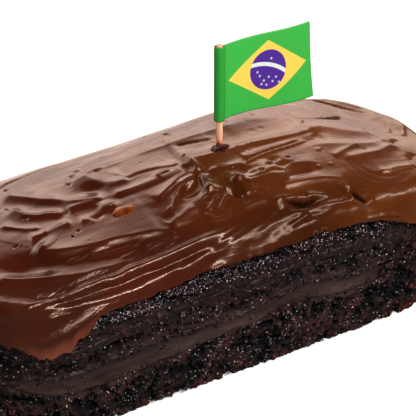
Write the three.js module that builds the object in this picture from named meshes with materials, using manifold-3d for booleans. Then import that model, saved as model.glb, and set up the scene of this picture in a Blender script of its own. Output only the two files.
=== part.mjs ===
import * as THREE from "three";
import { mergeVertices } from "three/addons/utils/BufferGeometryUtils.js";
import Module from "manifold-3d";

// A small chocolate loaf cake with a flag on a cocktail stick, in millimetres and +Z up.
// The base is centred on the origin, the long axis is X and the best side faces -Y.

const sponge = {
  length: 163.2,
  width: 71.4,
  nearCornerRadius: 28,
  farCornerRadius: 30,
  baseInset: 1.6, // how far the lower edge draws in
  baseRounding: 9, // height over which it does so
  wallTop: 38.3,
  shoulderRise: 2.2,
  shoulderRadius: 3,
  cragDepth: 0.4,
};
const icing = {
  overhang: 1.7, // beyond the sponge wall
  beadOverhang: 0.5, // extra at the rolled lower edge
  wallTop: 40.3,
  shoulderRise: 3,
  shoulderRadius: 4.5,
  edgeHeight: 39.3, // lower edge along the front
  lipHeight: 1.6,
  lipTuck: 0.4, // how far the lip's underside draws in
};
// Rise of the top, highest at peakX, and the powers by which it falls away
const crown = { rise: 12, peakX: 9, leftPower: 1.3, rightPower: 1.6, widthPower: 2.4 };
const fit = 0.3; // clearance between two pieces

// Rings of a cap, as shares of the way from the spine to the wall
const innermost = 0.1;
const seamShares = [innermost, 0.5];
const spongeShares = [0.985, 0.95, 0.85, 0.65, 0.4, innermost];
const innerShares = [innermost, 0.4, 0.65, 0.85, 0.95, 0.985];
const outerShares = [
  0.985, 0.95, 0.92, 0.87, 0.81, 0.74, 0.66, 0.58, 0.5, 0.42, 0.34, 0.26, 0.18, innermost,
];
// Rings of a wall, as shares of its height
const wallShares = {
  lower: [0, 0.15, 0.4, 0.7, 1],
  middle: [0, 0.5, 1],
  thin: [0, 1],
  upper: [0, 0.4, 0.8, 1],
};

// The two cream fillings: middle height, thickness, and how both change along X
const fillings = [
  {
    name: "lower_filling",
    level: 17.4,
    thickness: 6.6,
    rises: [{ at: 17, reach: 14, by: 2.6 }, { at: -62, reach: 20, by: -1.9 }],
    swells: [{ at: -1, reach: 17, by: -1.4 }, { at: -38, reach: 12, by: 1.5 }],
  },
  {
    name: "upper_filling",
    level: 28.4,
    thickness: 2.4,
    rises: [{ at: 25, reach: 14, by: 2 }, { at: -64, reach: 22, by: -3.4 }],
    swells: [],
  },
];
const endThinning = { from: 63, over: 16, left: 0.22 }; // the fillings pinch out at both ends

// Dips of the icing's lower edge, by distance round the loaf from the middle of its right end
const rimDips = [
  { at: 0, reach: 26, by: 5.5 },
  { at: 38, reach: 12, by: 3.5 },
  { at: 92, reach: 9, by: 6 },
  { at: 146, reach: 15, by: 2.5 },
  { at: 186, reach: 10, by: 6 },
  { at: 230, reach: 24, by: 10 },
  { at: 250, reach: 9.5, by: 9 },
  { at: 276, reach: 14, by: 2.2 },
  { at: 319, reach: 12, by: 0.8 },
  { at: 382, reach: 20, by: 10 },
];

// Spatula work on top: middle of each form, its half length and half breadth, turn and height
const swirls = [
  { x: -12, y: 7, long: 26, broad: 5, turn: 1, by: -1.2 }, // smooth leaf left by the spatula
  { x: -13, y: 13, long: 28, broad: 2.6, turn: 1, by: 0.8 }, // ridge behind the leaf
  { x: -31, y: 2, long: 8, broad: 3.2, turn: -20, by: -1.6 },
  { x: -53, y: 9, long: 6, broad: 4, turn: -45, by: -1.4 },
  { x: -39, y: -2, long: 14, broad: 3, turn: -25, by: 1 },
  { x: -2, y: -9, long: 3.6, broad: 3.6, turn: 0, by: 2.4 }, // torn peaks in the middle
  { x: 6, y: -18, long: 3.4, broad: 3, turn: 0, by: 2.2 },
  { x: -12, y: -23.5, long: 5.5, broad: 3, turn: 35, by: 2 },
  { x: -2, y: -15, long: 4, broad: 3.4, turn: 0, by: -1.6 },
  { x: -37, y: -19, long: 17, broad: 4.5, turn: -9, by: 2.2 }, // broad tongue and its furrow
  { x: -39, y: -26, long: 17, broad: 2, turn: -8, by: -1 },
  { x: 23, y: -2, long: 22, broad: 3.4, turn: 4, by: 0.9 }, // terrace edge right of the pick
  { x: 19, y: -10, long: 18, broad: 4, turn: 6, by: -1.3 },
  { x: 25, y: -21, long: 12, broad: 3.6, turn: 12, by: 0.9 },
  { x: 35, y: -28, long: 4.5, broad: 3.4, turn: 50, by: 1.7 },
  { x: 53, y: -12, long: 12, broad: 6, turn: 10, by: 0.6 },
  { x: 33, y: 24, long: 20, broad: 10, turn: 0, by: 2.8 }, // high back edge
  { x: 69, y: 12, long: 11, broad: 14, turn: 0, by: -1.8 },
  { x: -21, y: 25, long: 18, broad: 4, turn: 4, by: -0.8 },
  { x: 12, y: 1, long: 24, broad: 9, turn: 0, by: -1.9 }, // the top sinks round the stick
];
const thinnestIcing = 1.2;
const icingThickness = 3.3;

const pick = {
  radius: 1,
  above: 35.1, // out of the icing
  below: 24, // sunk into the cake
  tipLength: 5,
  foot: { x: 9.7, y: -2.7 },
  leanBack: 3.8, // degrees, away from the front
  leanRight: 2.5,
  sides: 12,
};
const flag = {
  fly: 34.6,
  hoist: 24,
  ply: 0.5,
  sleeveWall: 0.35,
  sway: 0.9,
  climb: 0.032, // rise of its edges, per millimetre away from the stick
  turn: 1.5,
  steps: 14,
};

const around = 88; // points round the loaf, counted from the middle of its right end

const wasm = await Module();
wasm.setup();

const degrees = Math.PI / 180;
const bell = (distance, reach) => Math.exp(-((distance / reach) ** 2));
const bump = (x, list) => list.reduce((sum, item) => sum + item.by * bell(x - item.at, item.reach), 0);
const clamp = THREE.MathUtils.clamp;

function roundedOutline({ length, width, nearCornerRadius: near, farCornerRadius: far }) {
  const [a, b] = [length / 2, width / 2];
  const path = new THREE.Path();
  path.moveTo(a, 0);
  path.absarc(a - far, b - far, far, 0, Math.PI / 2);
  path.absarc(far - a, b - far, far, Math.PI / 2, Math.PI);
  path.absarc(near - a, near - b, near, Math.PI, 1.5 * Math.PI);
  path.absarc(a - near, near - b, near, 1.5 * Math.PI, 2 * Math.PI);
  path.lineTo(a, 0);
  return path;
}

// Points round the sponge with their outward directions and their feet on the loaf's spine
const path = roundedOutline(sponge);
const girth = path.getLength();
const spineEnd = (sponge.length - sponge.width) / 2;
const rim = Array.from({ length: around }, (_, i) => {
  const { x, y } = path.getPointAt(i / around);
  const along = path.getTangentAt(i / around);
  const spine = new THREE.Vector2(clamp(x, -spineEnd, spineEnd), 0);
  return { x, y, out: new THREE.Vector2(along.y, -along.x), spine, distance: (i / around) * girth };
});

// Uneven crumb on the sponge walls
function crag(x, y, z) {
  const broad = Math.sin(0.61 * x + 1.3 * z) * Math.sin(0.53 * y - 0.9 * z + 1);
  const fine = 0.6 * Math.sin(1.7 * x - 0.8 * y + 2.1 * z);
  return sponge.cragDepth * (broad + fine);
}

function wallRing(heightAt, outwardAt) {
  return rim.map((point) => {
    const z = heightAt(point);
    const outward = outwardAt(point, z);
    return new THREE.Vector3(point.x + point.out.x * outward, point.y + point.out.y * outward, z);
  });
}

// A ring inside the outline, at the given share of the way from spine to wall
function capRing(share, grown, heightAt) {
  return rim.map((point) => {
    const reachX = point.x + point.out.x * grown - point.spine.x;
    const reachY = point.y + point.out.y * grown - point.spine.y;
    const x = point.spine.x + reachX * share;
    const y = point.spine.y + reachY * share;
    return new THREE.Vector3(x, y, heightAt(x, y, Math.hypot(reachX, reachY) * (1 - share)));
  });
}

const spongeWall = (point, z) => crag(point.x, point.y, z)
  - sponge.baseInset * Math.max(0, 1 - z / sponge.baseRounding) ** 2;

function crownHeight(x, y) {
  const endX = sponge.length / 2 + icing.overhang;
  const left = x < crown.peakX;
  const reach = left ? endX + crown.peakX : endX - crown.peakX;
  const u = Math.min(1, Math.abs(x - crown.peakX) / reach);
  const w = Math.min(1, Math.abs(y) / (sponge.width / 2 + icing.overhang));
  const lengthwise = 1 - u ** (left ? crown.leftPower : crown.rightPower);
  return crown.rise * lengthwise * (1 - w ** crown.widthPower);
}

// Height of a rounded top, given how far in from its wall the place is
function domeHeight(part, x, y, inward) {
  const round = 1 - Math.min(1, inward / part.shoulderRadius);
  return part.wallTop + part.shoulderRise * Math.sqrt(1 - round * round) + crownHeight(x, y);
}

function swirlHeight(x, y, inward) {
  const sum = swirls.reduce((height, form) => {
    const [dx, dy] = [x - form.x, y - form.y];
    const [c, s] = [Math.cos(form.turn * degrees), Math.sin(form.turn * degrees)];
    return height + form.by * bell(c * dx + s * dy, form.long) * bell(c * dy - s * dx, form.broad);
  }, 0);
  const fade = Math.min(1, inward / icing.shoulderRadius);
  return Math.max(sum, thinnestIcing - icingThickness) * fade;
}

const spongeTop = (x, y, inward) => Math.min(
  domeHeight(sponge, x, y, inward),
  domeHeight(icing, x, y, inward + icing.overhang) - icingThickness + fit,
);
const icingTop = (x, y, inward) => domeHeight(icing, x, y, inward) + swirlHeight(x, y, inward);

// Closed surface through two rows of rings: from the middle out below, and back to the middle above.
// Both rows split their quads the same way, so stacked pieces meet in parallel faces.
function loft(below, above) {
  const rings = [...below, ...above];
  const count = rings[0].length;
  const triangles = [];
  rings.slice(1).forEach((_, row) => {
    for (let i = 0; i < count; i += 1) {
      const [p, q] = [row * count + i, row * count + ((i + 1) % count)];
      if (row < below.length) triangles.push(p, q, p + count, q, q + count, p + count);
      else triangles.push(p, q, q + count, p, q + count, p + count);
    }
  });
  const close = (start, flip) => {
    for (let i = 0; i < count / 2; i += 1) {
      const near = (count - i) % count;
      const quad = [i, i + 1, count - i - 1, near].map((k) => start + k);
      const halves = [[quad[0], quad[1], quad[2]], [quad[0], quad[2], quad[3]]];
      halves.filter((half) => new Set(half).size === 3)
        .forEach((half) => triangles.push(...(flip ? half.reverse() : half)));
    }
  };
  close(0, true);
  close((rings.length - 1) * count, false);
  const geometry = new THREE.BufferGeometry().setFromPoints(rings.flat());
  geometry.setIndex(triangles);
  return geometry;
}

// A filling's underside (side -1) or upper side (side 1), pinched out towards both ends
function layerHeight(filling, side, x) {
  const pinch = clamp((Math.abs(x) - endThinning.from) / endThinning.over, 0, 1);
  const plump = 1 - pinch * (1 - endThinning.left);
  const half = 0.5 * (filling.thickness + bump(x, filling.swells)) * plump;
  return filling.level + bump(x, filling.rises) + side * half;
}

function layer(bottomAt, topAt, shares) {
  const below = seamShares.map((share) => capRing(share, 0, bottomAt));
  const above = [...seamShares].reverse().map((share) => capRing(share, 0, topAt));
  const walls = shares.map((share) => {
    const heightAt = ({ x }) => THREE.MathUtils.lerp(bottomAt(x), topAt(x), share);
    return wallRing(heightAt, spongeWall);
  });
  return loft(below, [...walls, ...above]);
}

const [lower, upper] = fillings;
const under = (filling) => (x) => layerHeight(filling, -1, x) - fit / 2;
const over = (filling) => (x) => layerHeight(filling, 1, x) + fit / 2;
const bottomOf = (filling) => (x) => layerHeight(filling, -1, x) + fit / 2;
const topOf = (filling) => (x) => layerHeight(filling, 1, x) - fit / 2;

function upperLayer() {
  const below = seamShares.map((share) => capRing(share, 0, over(upper)));
  const walls = wallShares.upper.map((share) => {
    const heightAt = ({ x }) => THREE.MathUtils.lerp(over(upper)(x), sponge.wallTop, share);
    return wallRing(heightAt, spongeWall);
  });
  return loft(below, [...walls, ...spongeShares.map((share) => capRing(share, 0, spongeTop))]);
}

function icingCap() {
  const edgeAt = ({ distance }) => {
    const drop = rimDips.reduce((sum, dip) => {
      const apart = Math.abs(distance - dip.at);
      return sum + dip.by * bell(Math.min(apart, girth - apart), dip.reach);
    }, 0);
    return icing.edgeHeight - drop;
  };
  const lipMiddle = (point) => edgeAt(point) + icing.lipHeight / 2;
  const clearOfSponge = (point, z) => Math.max(spongeWall(point, z), -fit) + sponge.cragDepth + fit;
  const innerTop = (x, y, inward) => spongeTop(x, y, inward) + fit;
  const inner = innerShares.map((share) => capRing(share, 0, innerTop));
  const lip = [
    wallRing((point) => Math.max(lipMiddle(point), sponge.wallTop), clearOfSponge),
    wallRing(lipMiddle, clearOfSponge),
    wallRing(edgeAt, () => icing.overhang - icing.lipTuck),
    wallRing(lipMiddle, () => icing.overhang + icing.beadOverhang),
    wallRing((point) => (lipMiddle(point) + icing.wallTop) / 2, () => icing.overhang),
    wallRing(() => icing.wallTop, () => icing.overhang),
  ];
  const outer = outerShares.map((share) => capRing(share, icing.overhang, icingTop));
  return loft(inner, [...lip, ...outer]);
}

function toManifold(geometry) {
  const bare = geometry.index ? geometry.clone() : geometry;
  bare.deleteAttribute("normal");
  bare.deleteAttribute("uv");
  const merged = mergeVertices(bare);
  const vertProperties = Float32Array.from(merged.attributes.position.array);
  const triVerts = Uint32Array.from(merged.index.array);
  return new wasm.Manifold(new wasm.Mesh({ numProp: 3, vertProperties, triVerts }));
}

function toGeometry(solid) {
  const { vertProperties, triVerts } = solid.getMesh();
  const geometry = new THREE.BufferGeometry();
  geometry.setAttribute("position", new THREE.BufferAttribute(vertProperties, 3));
  geometry.setIndex(new THREE.BufferAttribute(triVerts, 1));
  return geometry;
}

// The stick's own frame: its origin where it leaves the icing, its Z axis along the stick
const stickFrame = new THREE.Group();
stickFrame.rotation.set(-pick.leanBack * degrees, pick.leanRight * degrees, 0);
const footHeight = icingTop(pick.foot.x, pick.foot.y, sponge.width / 2);
stickFrame.position.set(pick.foot.x, pick.foot.y, footHeight);
stickFrame.updateMatrixWorld();

function pickShape(clearance) {
  const radius = pick.radius + clearance;
  const profile = [
    [0, -pick.below - clearance],
    [radius, pick.tipLength - pick.below],
    [radius, pick.above],
    [0, pick.above],
  ].map(([r, z]) => new THREE.Vector2(r, z));
  return new THREE.LatheGeometry(profile, pick.sides).rotateX(Math.PI / 2);
}

function drilled(geometry) {
  const hole = pickShape(fit).applyMatrix4(stickFrame.matrixWorld);
  return toGeometry(toManifold(geometry).subtract(toManifold(hole)));
}

// Folded paper: a sleeve round the stick and two plies glued together behind it
function flagShape() {
  const bore = pick.radius + fit;
  const sleeve = bore + flag.sleeveWall;
  const half = flag.ply / 2;
  const mouth = Math.asin(half / sleeve);
  const start = sleeve * Math.cos(mouth);
  const swayAt = (x) => flag.sway * Math.sin((Math.PI * 2 * (x - start)) / flag.fly);
  const step = (flag.fly - start) / flag.steps;
  const xs = Array.from({ length: flag.steps }, (_, i) => start + (i + 1) * step);
  const shape = new THREE.Shape();
  shape.absarc(0, 0, sleeve, mouth, Math.PI * 2 - mouth);
  xs.forEach((x) => shape.lineTo(x, swayAt(x) - half));
  xs.reverse().forEach((x) => shape.lineTo(x, swayAt(x) + half));
  shape.closePath();
  shape.holes.push(new THREE.Path().absarc(0, 0, bore, 0, Math.PI * 2, true));
  const settings = { depth: flag.hoist, bevelEnabled: false, curveSegments: 6 };
  const geometry = new THREE.ExtrudeGeometry(shape, settings);
  geometry.applyMatrix4(new THREE.Matrix4().makeShear(0, flag.climb, 0, 0, 0, 0));
  return geometry.translate(0, 0, pick.above - flag.hoist).rotateZ(flag.turn * degrees);
}

const crumb = { color: 0x2b1a19, roughness: 0.9, metalness: 0 };
const cream = { color: 0x40302f, roughness: 0.6, metalness: 0 };
const looks = {
  lower_layer: crumb,
  lower_filling: cream,
  middle_layer: crumb,
  upper_filling: cream,
  upper_layer: crumb,
  icing: { color: 0x6a3a2b, roughness: 0.28, metalness: 0 },
  pick: { color: 0xd8ab8c, roughness: 0.7, metalness: 0 },
  flag: { color: 0x45b34a, roughness: 0.6, metalness: 0 },
};

function piece(name, geometry) {
  const mesh = new THREE.Mesh(geometry, new THREE.MeshStandardMaterial(looks[name]));
  mesh.name = name;
  return mesh;
}

const cake = new THREE.Group();
cake.add(
  piece("lower_layer", layer(() => 0, under(lower), wallShares.lower)),
  piece("lower_filling", layer(bottomOf(lower), topOf(lower), wallShares.middle)),
  piece("middle_layer", layer(over(lower), under(upper), wallShares.middle)),
  piece("upper_filling", layer(bottomOf(upper), topOf(upper), wallShares.thin)),
  piece("upper_layer", drilled(upperLayer())),
  piece("icing", drilled(icingCap())),
  stickFrame,
);
stickFrame.add(piece("pick", pickShape(0)), piece("flag", flagShape()));

export default cake;
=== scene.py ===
import math
import bpy
import numpy as np
from mathutils import Matrix, Vector


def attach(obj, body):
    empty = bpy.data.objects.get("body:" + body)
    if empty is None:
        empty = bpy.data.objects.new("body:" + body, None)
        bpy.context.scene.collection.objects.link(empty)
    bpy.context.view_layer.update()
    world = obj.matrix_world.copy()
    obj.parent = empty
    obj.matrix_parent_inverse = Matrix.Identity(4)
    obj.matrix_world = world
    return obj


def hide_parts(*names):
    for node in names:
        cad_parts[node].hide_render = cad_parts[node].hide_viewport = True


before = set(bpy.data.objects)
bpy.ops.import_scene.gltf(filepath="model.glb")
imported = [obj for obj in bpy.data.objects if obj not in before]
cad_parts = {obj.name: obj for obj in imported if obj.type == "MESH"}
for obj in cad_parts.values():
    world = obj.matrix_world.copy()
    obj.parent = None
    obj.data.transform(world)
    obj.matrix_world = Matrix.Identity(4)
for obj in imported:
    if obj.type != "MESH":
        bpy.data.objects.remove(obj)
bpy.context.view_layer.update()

# Lengths are millimetres, and metres only in materials and where a mesh, a light or the camera is made
mm = 0.001
degrees = math.pi / 180

cake = {
    "length": 163.2, "width": 71.4,  # of the sponge; the icing stands a little outside it
    "nearCorner": 28.0, "farCorner": 30.0,
    "baseInset": 1.6, "baseRounding": 9.0, "footSpread": 1.3, "footHeight": 9.0,
    "wallTop": 38.3, "shoulderRise": 2.2, "shoulderRadius": 3.0,
    "crownRise": 12.0, "crownX": 9.0, "leftPower": 1.3, "rightPower": 1.6, "widthPower": 2.4,
}
icingForm = {
    "overhang": 1.7, "bead": 0.5, "wallTop": 40.3, "shoulderRise": 3.0, "shoulderRadius": 4.5,
    "edge": 39.3, "thick": 3.3, "gap": 0.3,
    "lip": 0.8,  # half height of the rolled lower edge
    "columns": 860, "topRows": 78,
    "spineShift": -6.0,  # y of the line that the rings on top close on
}


# Noise: random numbers on a lattice of whole numbers, blended smoothly or searched for the nearest cell

def hashed(ix, iy, iz, seed):
    # mixes three whole numbers and a seed into a number from 0 to 1
    h = (ix.astype(np.uint32) * np.uint32(374761393) + iy.astype(np.uint32) * np.uint32(668265263)
         + iz.astype(np.uint32) * np.uint32(2246822519) + np.uint32(seed * 3266489917 % 4294967296))
    h = (h ^ (h >> np.uint32(13))) * np.uint32(1274126177)
    h = (h ^ (h >> np.uint32(16))) * np.uint32(2654435761)
    return ((h ^ (h >> np.uint32(15))) & np.uint32(0xFFFFFF)).astype(float) / 16777215.0


def smoothNoise(p, size, seed):
    # the values at a lattice cell's eight corners, blended by 3t^2 - 2t^3 along each axis; from -1 to 1
    q = p / size
    cell = np.floor(q).astype(np.int64)
    t = q - cell
    t = t * t * (3 - 2 * t)
    total = 0
    for dx in (0, 1):
        for dy in (0, 1):
            for dz in (0, 1):
                weight = abs(1 - dx - t[..., 0]) * abs(1 - dy - t[..., 1]) * abs(1 - dz - t[..., 2])
                corner = hashed(cell[..., 0] + dx, cell[..., 1] + dy, cell[..., 2] + dz, seed)
                total = total + weight * corner
    return 2 * total - 1


def noiseAlong(s, size, seed, row=0):
    # the same noise read along a line, where each row has values of its own
    return smoothNoise(np.stack([s, 0 * s + row, 0 * s], -1), size, seed)


def nearestCell(p, size, seed):
    # distance to the nearest of one random point per lattice cell, in cell sizes, and that cell's number
    q = p / size
    cell = np.floor(q).astype(np.int64)
    best = np.full(q.shape[:-1], 9.0)
    mark = np.zeros(q.shape[:-1])
    for dx in (-1, 0, 1):
        for dy in (-1, 0, 1):
            for dz in (-1, 0, 1):
                c = [cell[..., 0] + dx, cell[..., 1] + dy, cell[..., 2] + dz]
                away = sum((c[k] + hashed(*c, seed + k) - q[..., k]) ** 2 for k in range(3)) ** 0.5
                nearer = away < best
                best = np.where(nearer, away, best)
                mark = np.where(nearer, hashed(*c, seed + 5), mark)
    return best, mark


def bell(distance, reach):
    # 1 in the middle, and e times less one reach away on either side
    return np.exp(-(distance / reach) ** 2)


def ramp(x, start, end):
    # 0 before start, 1 after end, smooth between
    t = np.clip((x - start) / (end - start), 0, 1)
    return t * t * (3 - 2 * t)


def turned(u, v, angle):
    # a pair of coordinates turned by the given degrees, from the first towards the second
    c, s = math.cos(angle * degrees), math.sin(angle * degrees)
    return c * u - s * v, s * u + c * v


# The loaf's outline: a rounded rectangle walked from the middle of its right end, anticlockwise from above

def loafOutline(count):
    # straight sides and corner arcs sampled finely, then read off at even distances
    a, b, near, far = cake["length"] / 2, cake["width"] / 2, cake["nearCorner"], cake["farCorner"]
    corners = [(a - far, b - far, far, 0), (far - a, b - far, far, 90), (near - a, near - b, near, 180),
               (a - near, near - b, near, 270)]
    walk = [[[a], [0.0], [0.0]]]
    for cx, cy, r, start in corners:
        turn = np.linspace(start, start + 90, 97) * degrees
        walk.append([cx + r * np.cos(turn), cy + r * np.sin(turn), turn])
    walk.append([[a], [0.0], [2 * math.pi]])
    xs, ys, turns = np.concatenate(walk, 1)
    walked = np.concatenate([[0], np.cumsum(np.hypot(np.diff(xs), np.diff(ys)))])
    s = np.linspace(0, walked[-1], count, endpoint=False)
    x, y, turn = (np.interp(s, walked, values) for values in (xs, ys, turns))
    spine = np.clip(x, -(a - b), a - b)
    return {"s": s, "x": x, "y": y, "outX": np.cos(turn), "outY": np.sin(turn), "spine": spine,
            "girth": walked[-1]}


girth = loafOutline(8)["girth"]


def around(s, at):
    # shortest distance round the outline from a place on it
    apart = np.abs(s - at) % girth
    return np.minimum(apart, girth - apart)


def crownHeight(x, y):
    # one minus a power of the way from the highest place to either end, times the same across
    end = cake["length"] / 2 + icingForm["overhang"]
    left = x < cake["crownX"]
    reach = np.where(left, end + cake["crownX"], end - cake["crownX"])
    u = np.minimum(1, np.abs(x - cake["crownX"]) / reach)
    w = np.minimum(1, np.abs(y) / (cake["width"] / 2 + icingForm["overhang"]))
    lengthwise = 1 - u ** np.where(left, cake["leftPower"], cake["rightPower"])
    return cake["crownRise"] * lengthwise * (1 - w ** cake["widthPower"])


def domeHeight(form, x, y, inward):
    # quarter-circle shoulder just inside the wall, with the crown on top
    rounded = 1 - np.clip(inward / form["shoulderRadius"], 0, 1)
    return form["wallTop"] + form["shoulderRise"] * np.sqrt(1 - rounded ** 2) + crownHeight(x, y)


def spongeTop(x, y, inward):
    # the sponge's own dome, or the icing's dome less its thickness where that is lower
    iced = domeHeight(icingForm, x, y, inward + icingForm["overhang"])
    return np.minimum(domeHeight(cake, x, y, inward), iced - icingForm["thick"] + icingForm["gap"])


# The two cream fillings: middle height, thickness, and how both change along X
lowerFilling = {
    "level": 17.4, "thick": 6.6, "seed": 31,
    "rises": [(17, 14, 2.6), (-62, 20, -1.9)],
    "swells": [(-1, 17, -1.4), (-38, 12, 1.5)],
    "shown": (216, 361), "shownBehind": (48, 160),
}
upperFilling = {
    "level": 28.4, "thick": 2.4, "seed": 37,
    "rises": [(25, 14, 2.0), (-64, 22, -3.4)],
    "swells": [],
    "shown": (206, 386), "shownBehind": (30, 176),
}
endThinning = {"start": 63.0, "end": 79.0, "left": 0.22}


def fillingFace(filling, x, side):
    # level plus its rises, plus or minus half the thickness, which pinches out towards both ends
    pinch = np.clip((np.abs(x) - endThinning["start"]) / (endThinning["end"] - endThinning["start"]), 0, 1)
    plump = 1 - pinch * (1 - endThinning["left"])
    rise = sum(by * bell(x - at, reach) for at, reach, by in filling["rises"])
    swell = sum(by * bell(x - at, reach) for at, reach, by in filling["swells"])
    return filling["level"] + rise + side * 0.5 * (filling["thick"] + swell) * plump


def shownShare(filling, s):
    # 1 where the cream shows on a long side, 0 where the crumb has closed over it, ragged between
    ragged = s + 3.0 * noiseAlong(s, 2.3, filling["seed"])
    front, back = (ramp(ragged, start - 6, start + 8) * (1 - ramp(ragged, end - 8, end + 6))
                   for start, end in (filling["shown"], filling["shownBehind"]))
    return np.maximum(front, back)


# Meshes from rings

def tubeFaces(rows, count):
    # quads between neighbouring closed rings of points
    i = np.arange(count)
    j = (i + 1) % count
    starts = np.arange(rows - 1)[:, None] * count
    return np.stack([starts + i, starts + j, starts + count + j, starts + count + i], -1).reshape(-1, 4)


def ringFaces(rows, count):
    # the tube's quads, with its first and last rings zipped shut across the spine
    half = np.arange(1, count // 2 - 1)
    strip = np.stack([half, half + 1, count - half - 1, count - half], -1)
    ends = np.array([[0, 1, count - 1], [count // 2 - 1, count // 2, count // 2 + 1]])
    last = (rows - 1) * count
    quads = np.concatenate([tubeFaces(rows, count), strip[:, ::-1], strip + last])
    return [quads, np.concatenate([ends[:, ::-1], ends + last])]


def fanFaces(count):
    # triangles that close a ring of points from its first one, facing down
    k = np.arange(1, count - 1)
    return np.stack([0 * k, k + 1, k], -1)


def makeMesh(name, points, faces, material, smooth=True):
    # fills a mesh from whole arrays: points in millimetres, and corner numbers, one array per kind of face
    points = points.reshape(-1, 3)
    corners = np.concatenate([part.ravel() for part in faces]).astype(np.int32)
    sizes = np.concatenate([np.full(len(part), part.shape[1]) for part in faces])
    mesh = bpy.data.meshes.new(name)
    mesh.vertices.add(len(points))
    mesh.vertices.foreach_set("co", (points * mm).astype(np.float32).ravel())
    mesh.loops.add(len(corners))
    mesh.loops.foreach_set("vertex_index", corners)
    mesh.polygons.add(len(sizes))
    mesh.polygons.foreach_set("loop_start", (np.cumsum(sizes) - sizes).astype(np.int32))
    mesh.polygons.foreach_set("use_smooth", np.full(len(sizes), smooth))
    mesh.update(calc_edges=True)
    mesh.validate()
    mesh.materials.append(material)
    piece = bpy.data.objects.new(name, mesh)
    bpy.context.scene.collection.objects.link(piece)
    return piece


def addNumbers(piece, name, values):
    # a number for each point, which the piece's material reads by name
    layer = piece.data.attributes.new(name, "FLOAT", "POINT")
    layer.data.foreach_set("value", np.asarray(values, np.float32).ravel())


def wallRing(outline, z, outward):
    # the outline moved outward, at the given heights
    x = outline["x"] + outline["outX"] * outward
    y = outline["y"] + outline["outY"] * outward
    return np.stack([x, y, z + 0 * x], -1)


def capRing(outline, share, grown, heightOf):
    # a share of the way from the spine to the wall, on the given surface
    spineY = outline.get("spineY", 0)
    reachX = outline["x"] + outline["outX"] * grown - outline["spine"]
    reachY = outline["y"] + outline["outY"] * grown - spineY
    x, y = outline["spine"] + reachX * share, spineY + reachY * share
    return np.stack([x, y, heightOf(x, y, np.hypot(reachX, reachY) * (1 - share)) + 0 * x], -1)


# Materials: small helpers for node trees. Colours are screen colours, 0 to 255

def newMaterial(name):
    # an empty node material, with its tree and its main shader
    material = bpy.data.materials.new(name)
    material.use_nodes = True
    return material, material.node_tree, material.node_tree.nodes["Principled BSDF"]


def setInputs(tree, node, inputs):
    # links what comes from another node, and sets anything else on the node's own socket
    for key, value in inputs.items():
        if isinstance(value, bpy.types.NodeSocket):
            tree.links.new(value, node.inputs[key])
        else:
            node.inputs[key].default_value = value


def addNode(tree, kind, inputs=None, **settings):
    # settings come first, because they decide which sockets the node shows
    node = tree.nodes.new(kind)
    for key, value in settings.items():
        setattr(node, key, value)
    setInputs(tree, node, inputs or {})
    return node


def linear(colour):
    # screen colour to the linear colour that shaders take
    return tuple(((c / 255 + 0.055) / 1.055) ** 2.4 if c > 10 else c / 255 / 12.92 for c in colour) + (1,)


def objectCoords(tree):
    # the piece's own coordinates, in metres
    return addNode(tree, "ShaderNodeTexCoord").outputs["Object"]


def attributeNodes(tree, *names):
    # the numbers that the piece's points carry under these names
    return [addNode(tree, "ShaderNodeAttribute", attribute_name=name).outputs["Fac"] for name in names]


def noiseNode(tree, scale, detail, roughness, stretch=None, vector=None):
    # noise on the piece's own coordinates, so scale counts waves per metre, or on the given vector
    coords = objectCoords(tree) if vector is None else vector
    if stretch is not None:
        coords = addNode(tree, "ShaderNodeMapping", {"Vector": coords, "Scale": stretch}).outputs["Vector"]
    inputs = {"Vector": coords, "Scale": scale, "Detail": detail, "Roughness": roughness}
    return addNode(tree, "ShaderNodeTexNoise", inputs).outputs["Fac"]


def colourRamp(tree, factor, stops):
    # blends through the stops, each a place from 0 to 1 and a colour
    node = addNode(tree, "ShaderNodeValToRGB", {"Fac": factor})
    while len(node.color_ramp.elements) < len(stops):
        node.color_ramp.elements.new(0.5)
    for element, (place, colour) in zip(node.color_ramp.elements, stops):
        element.position = place
        element.color = linear(colour)
    return node.outputs["Color"]


def mixNode(tree, factor, first, second):
    # the first colour where the factor is 0, the second where it is 1; either may come from another node
    first, second = (linear(colour) if isinstance(colour, tuple) else colour for colour in (first, second))
    inputs = {"Factor": factor, "A": first, "B": second}
    return addNode(tree, "ShaderNodeMix", inputs, data_type="RGBA").outputs["Result"]


def rangeNode(tree, value, start, end, low=0.0, high=1.0):
    # low where the value is at start, high where it is at end, and even steps between
    inputs = {"Value": value, "From Min": start, "From Max": end, "To Min": low, "To Max": high}
    return addNode(tree, "ShaderNodeMapRange", inputs).outputs[0]


def bumpNode(tree, height, strength, distance, under=None):
    # fine relief from a height of 0 to 1, laid over the relief under it
    inputs = {"Height": height, "Strength": strength, "Distance": distance}
    if under is not None:
        inputs["Normal"] = under
    return addNode(tree, "ShaderNodeBump", inputs).outputs["Normal"]


def mathNode(tree, operation, *values):
    # one sum of numbers or other nodes' outputs
    return addNode(tree, "ShaderNodeMath", dict(enumerate(values)), operation=operation).outputs[0]


def speckNode(tree, scale, share):
    # small round specks in a share of the cells of a cell pattern, each with its own size and brightness
    cells = addNode(tree, "ShaderNodeTexVoronoi", {"Vector": objectCoords(tree), "Scale": scale})
    own = addNode(tree, "ShaderNodeSeparateColor", {"Color": cells.outputs["Color"]})
    chosen = mathNode(tree, "LESS_THAN", own.outputs[0], share)
    radius = mathNode(tree, "MULTIPLY_ADD", own.outputs[1], 0.28, 0.14)
    inside = mathNode(tree, "LESS_THAN", cells.outputs["Distance"], radius)
    return mathNode(tree, "MULTIPLY", mathNode(tree, "MULTIPLY", chosen, inside), own.outputs[2])


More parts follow.
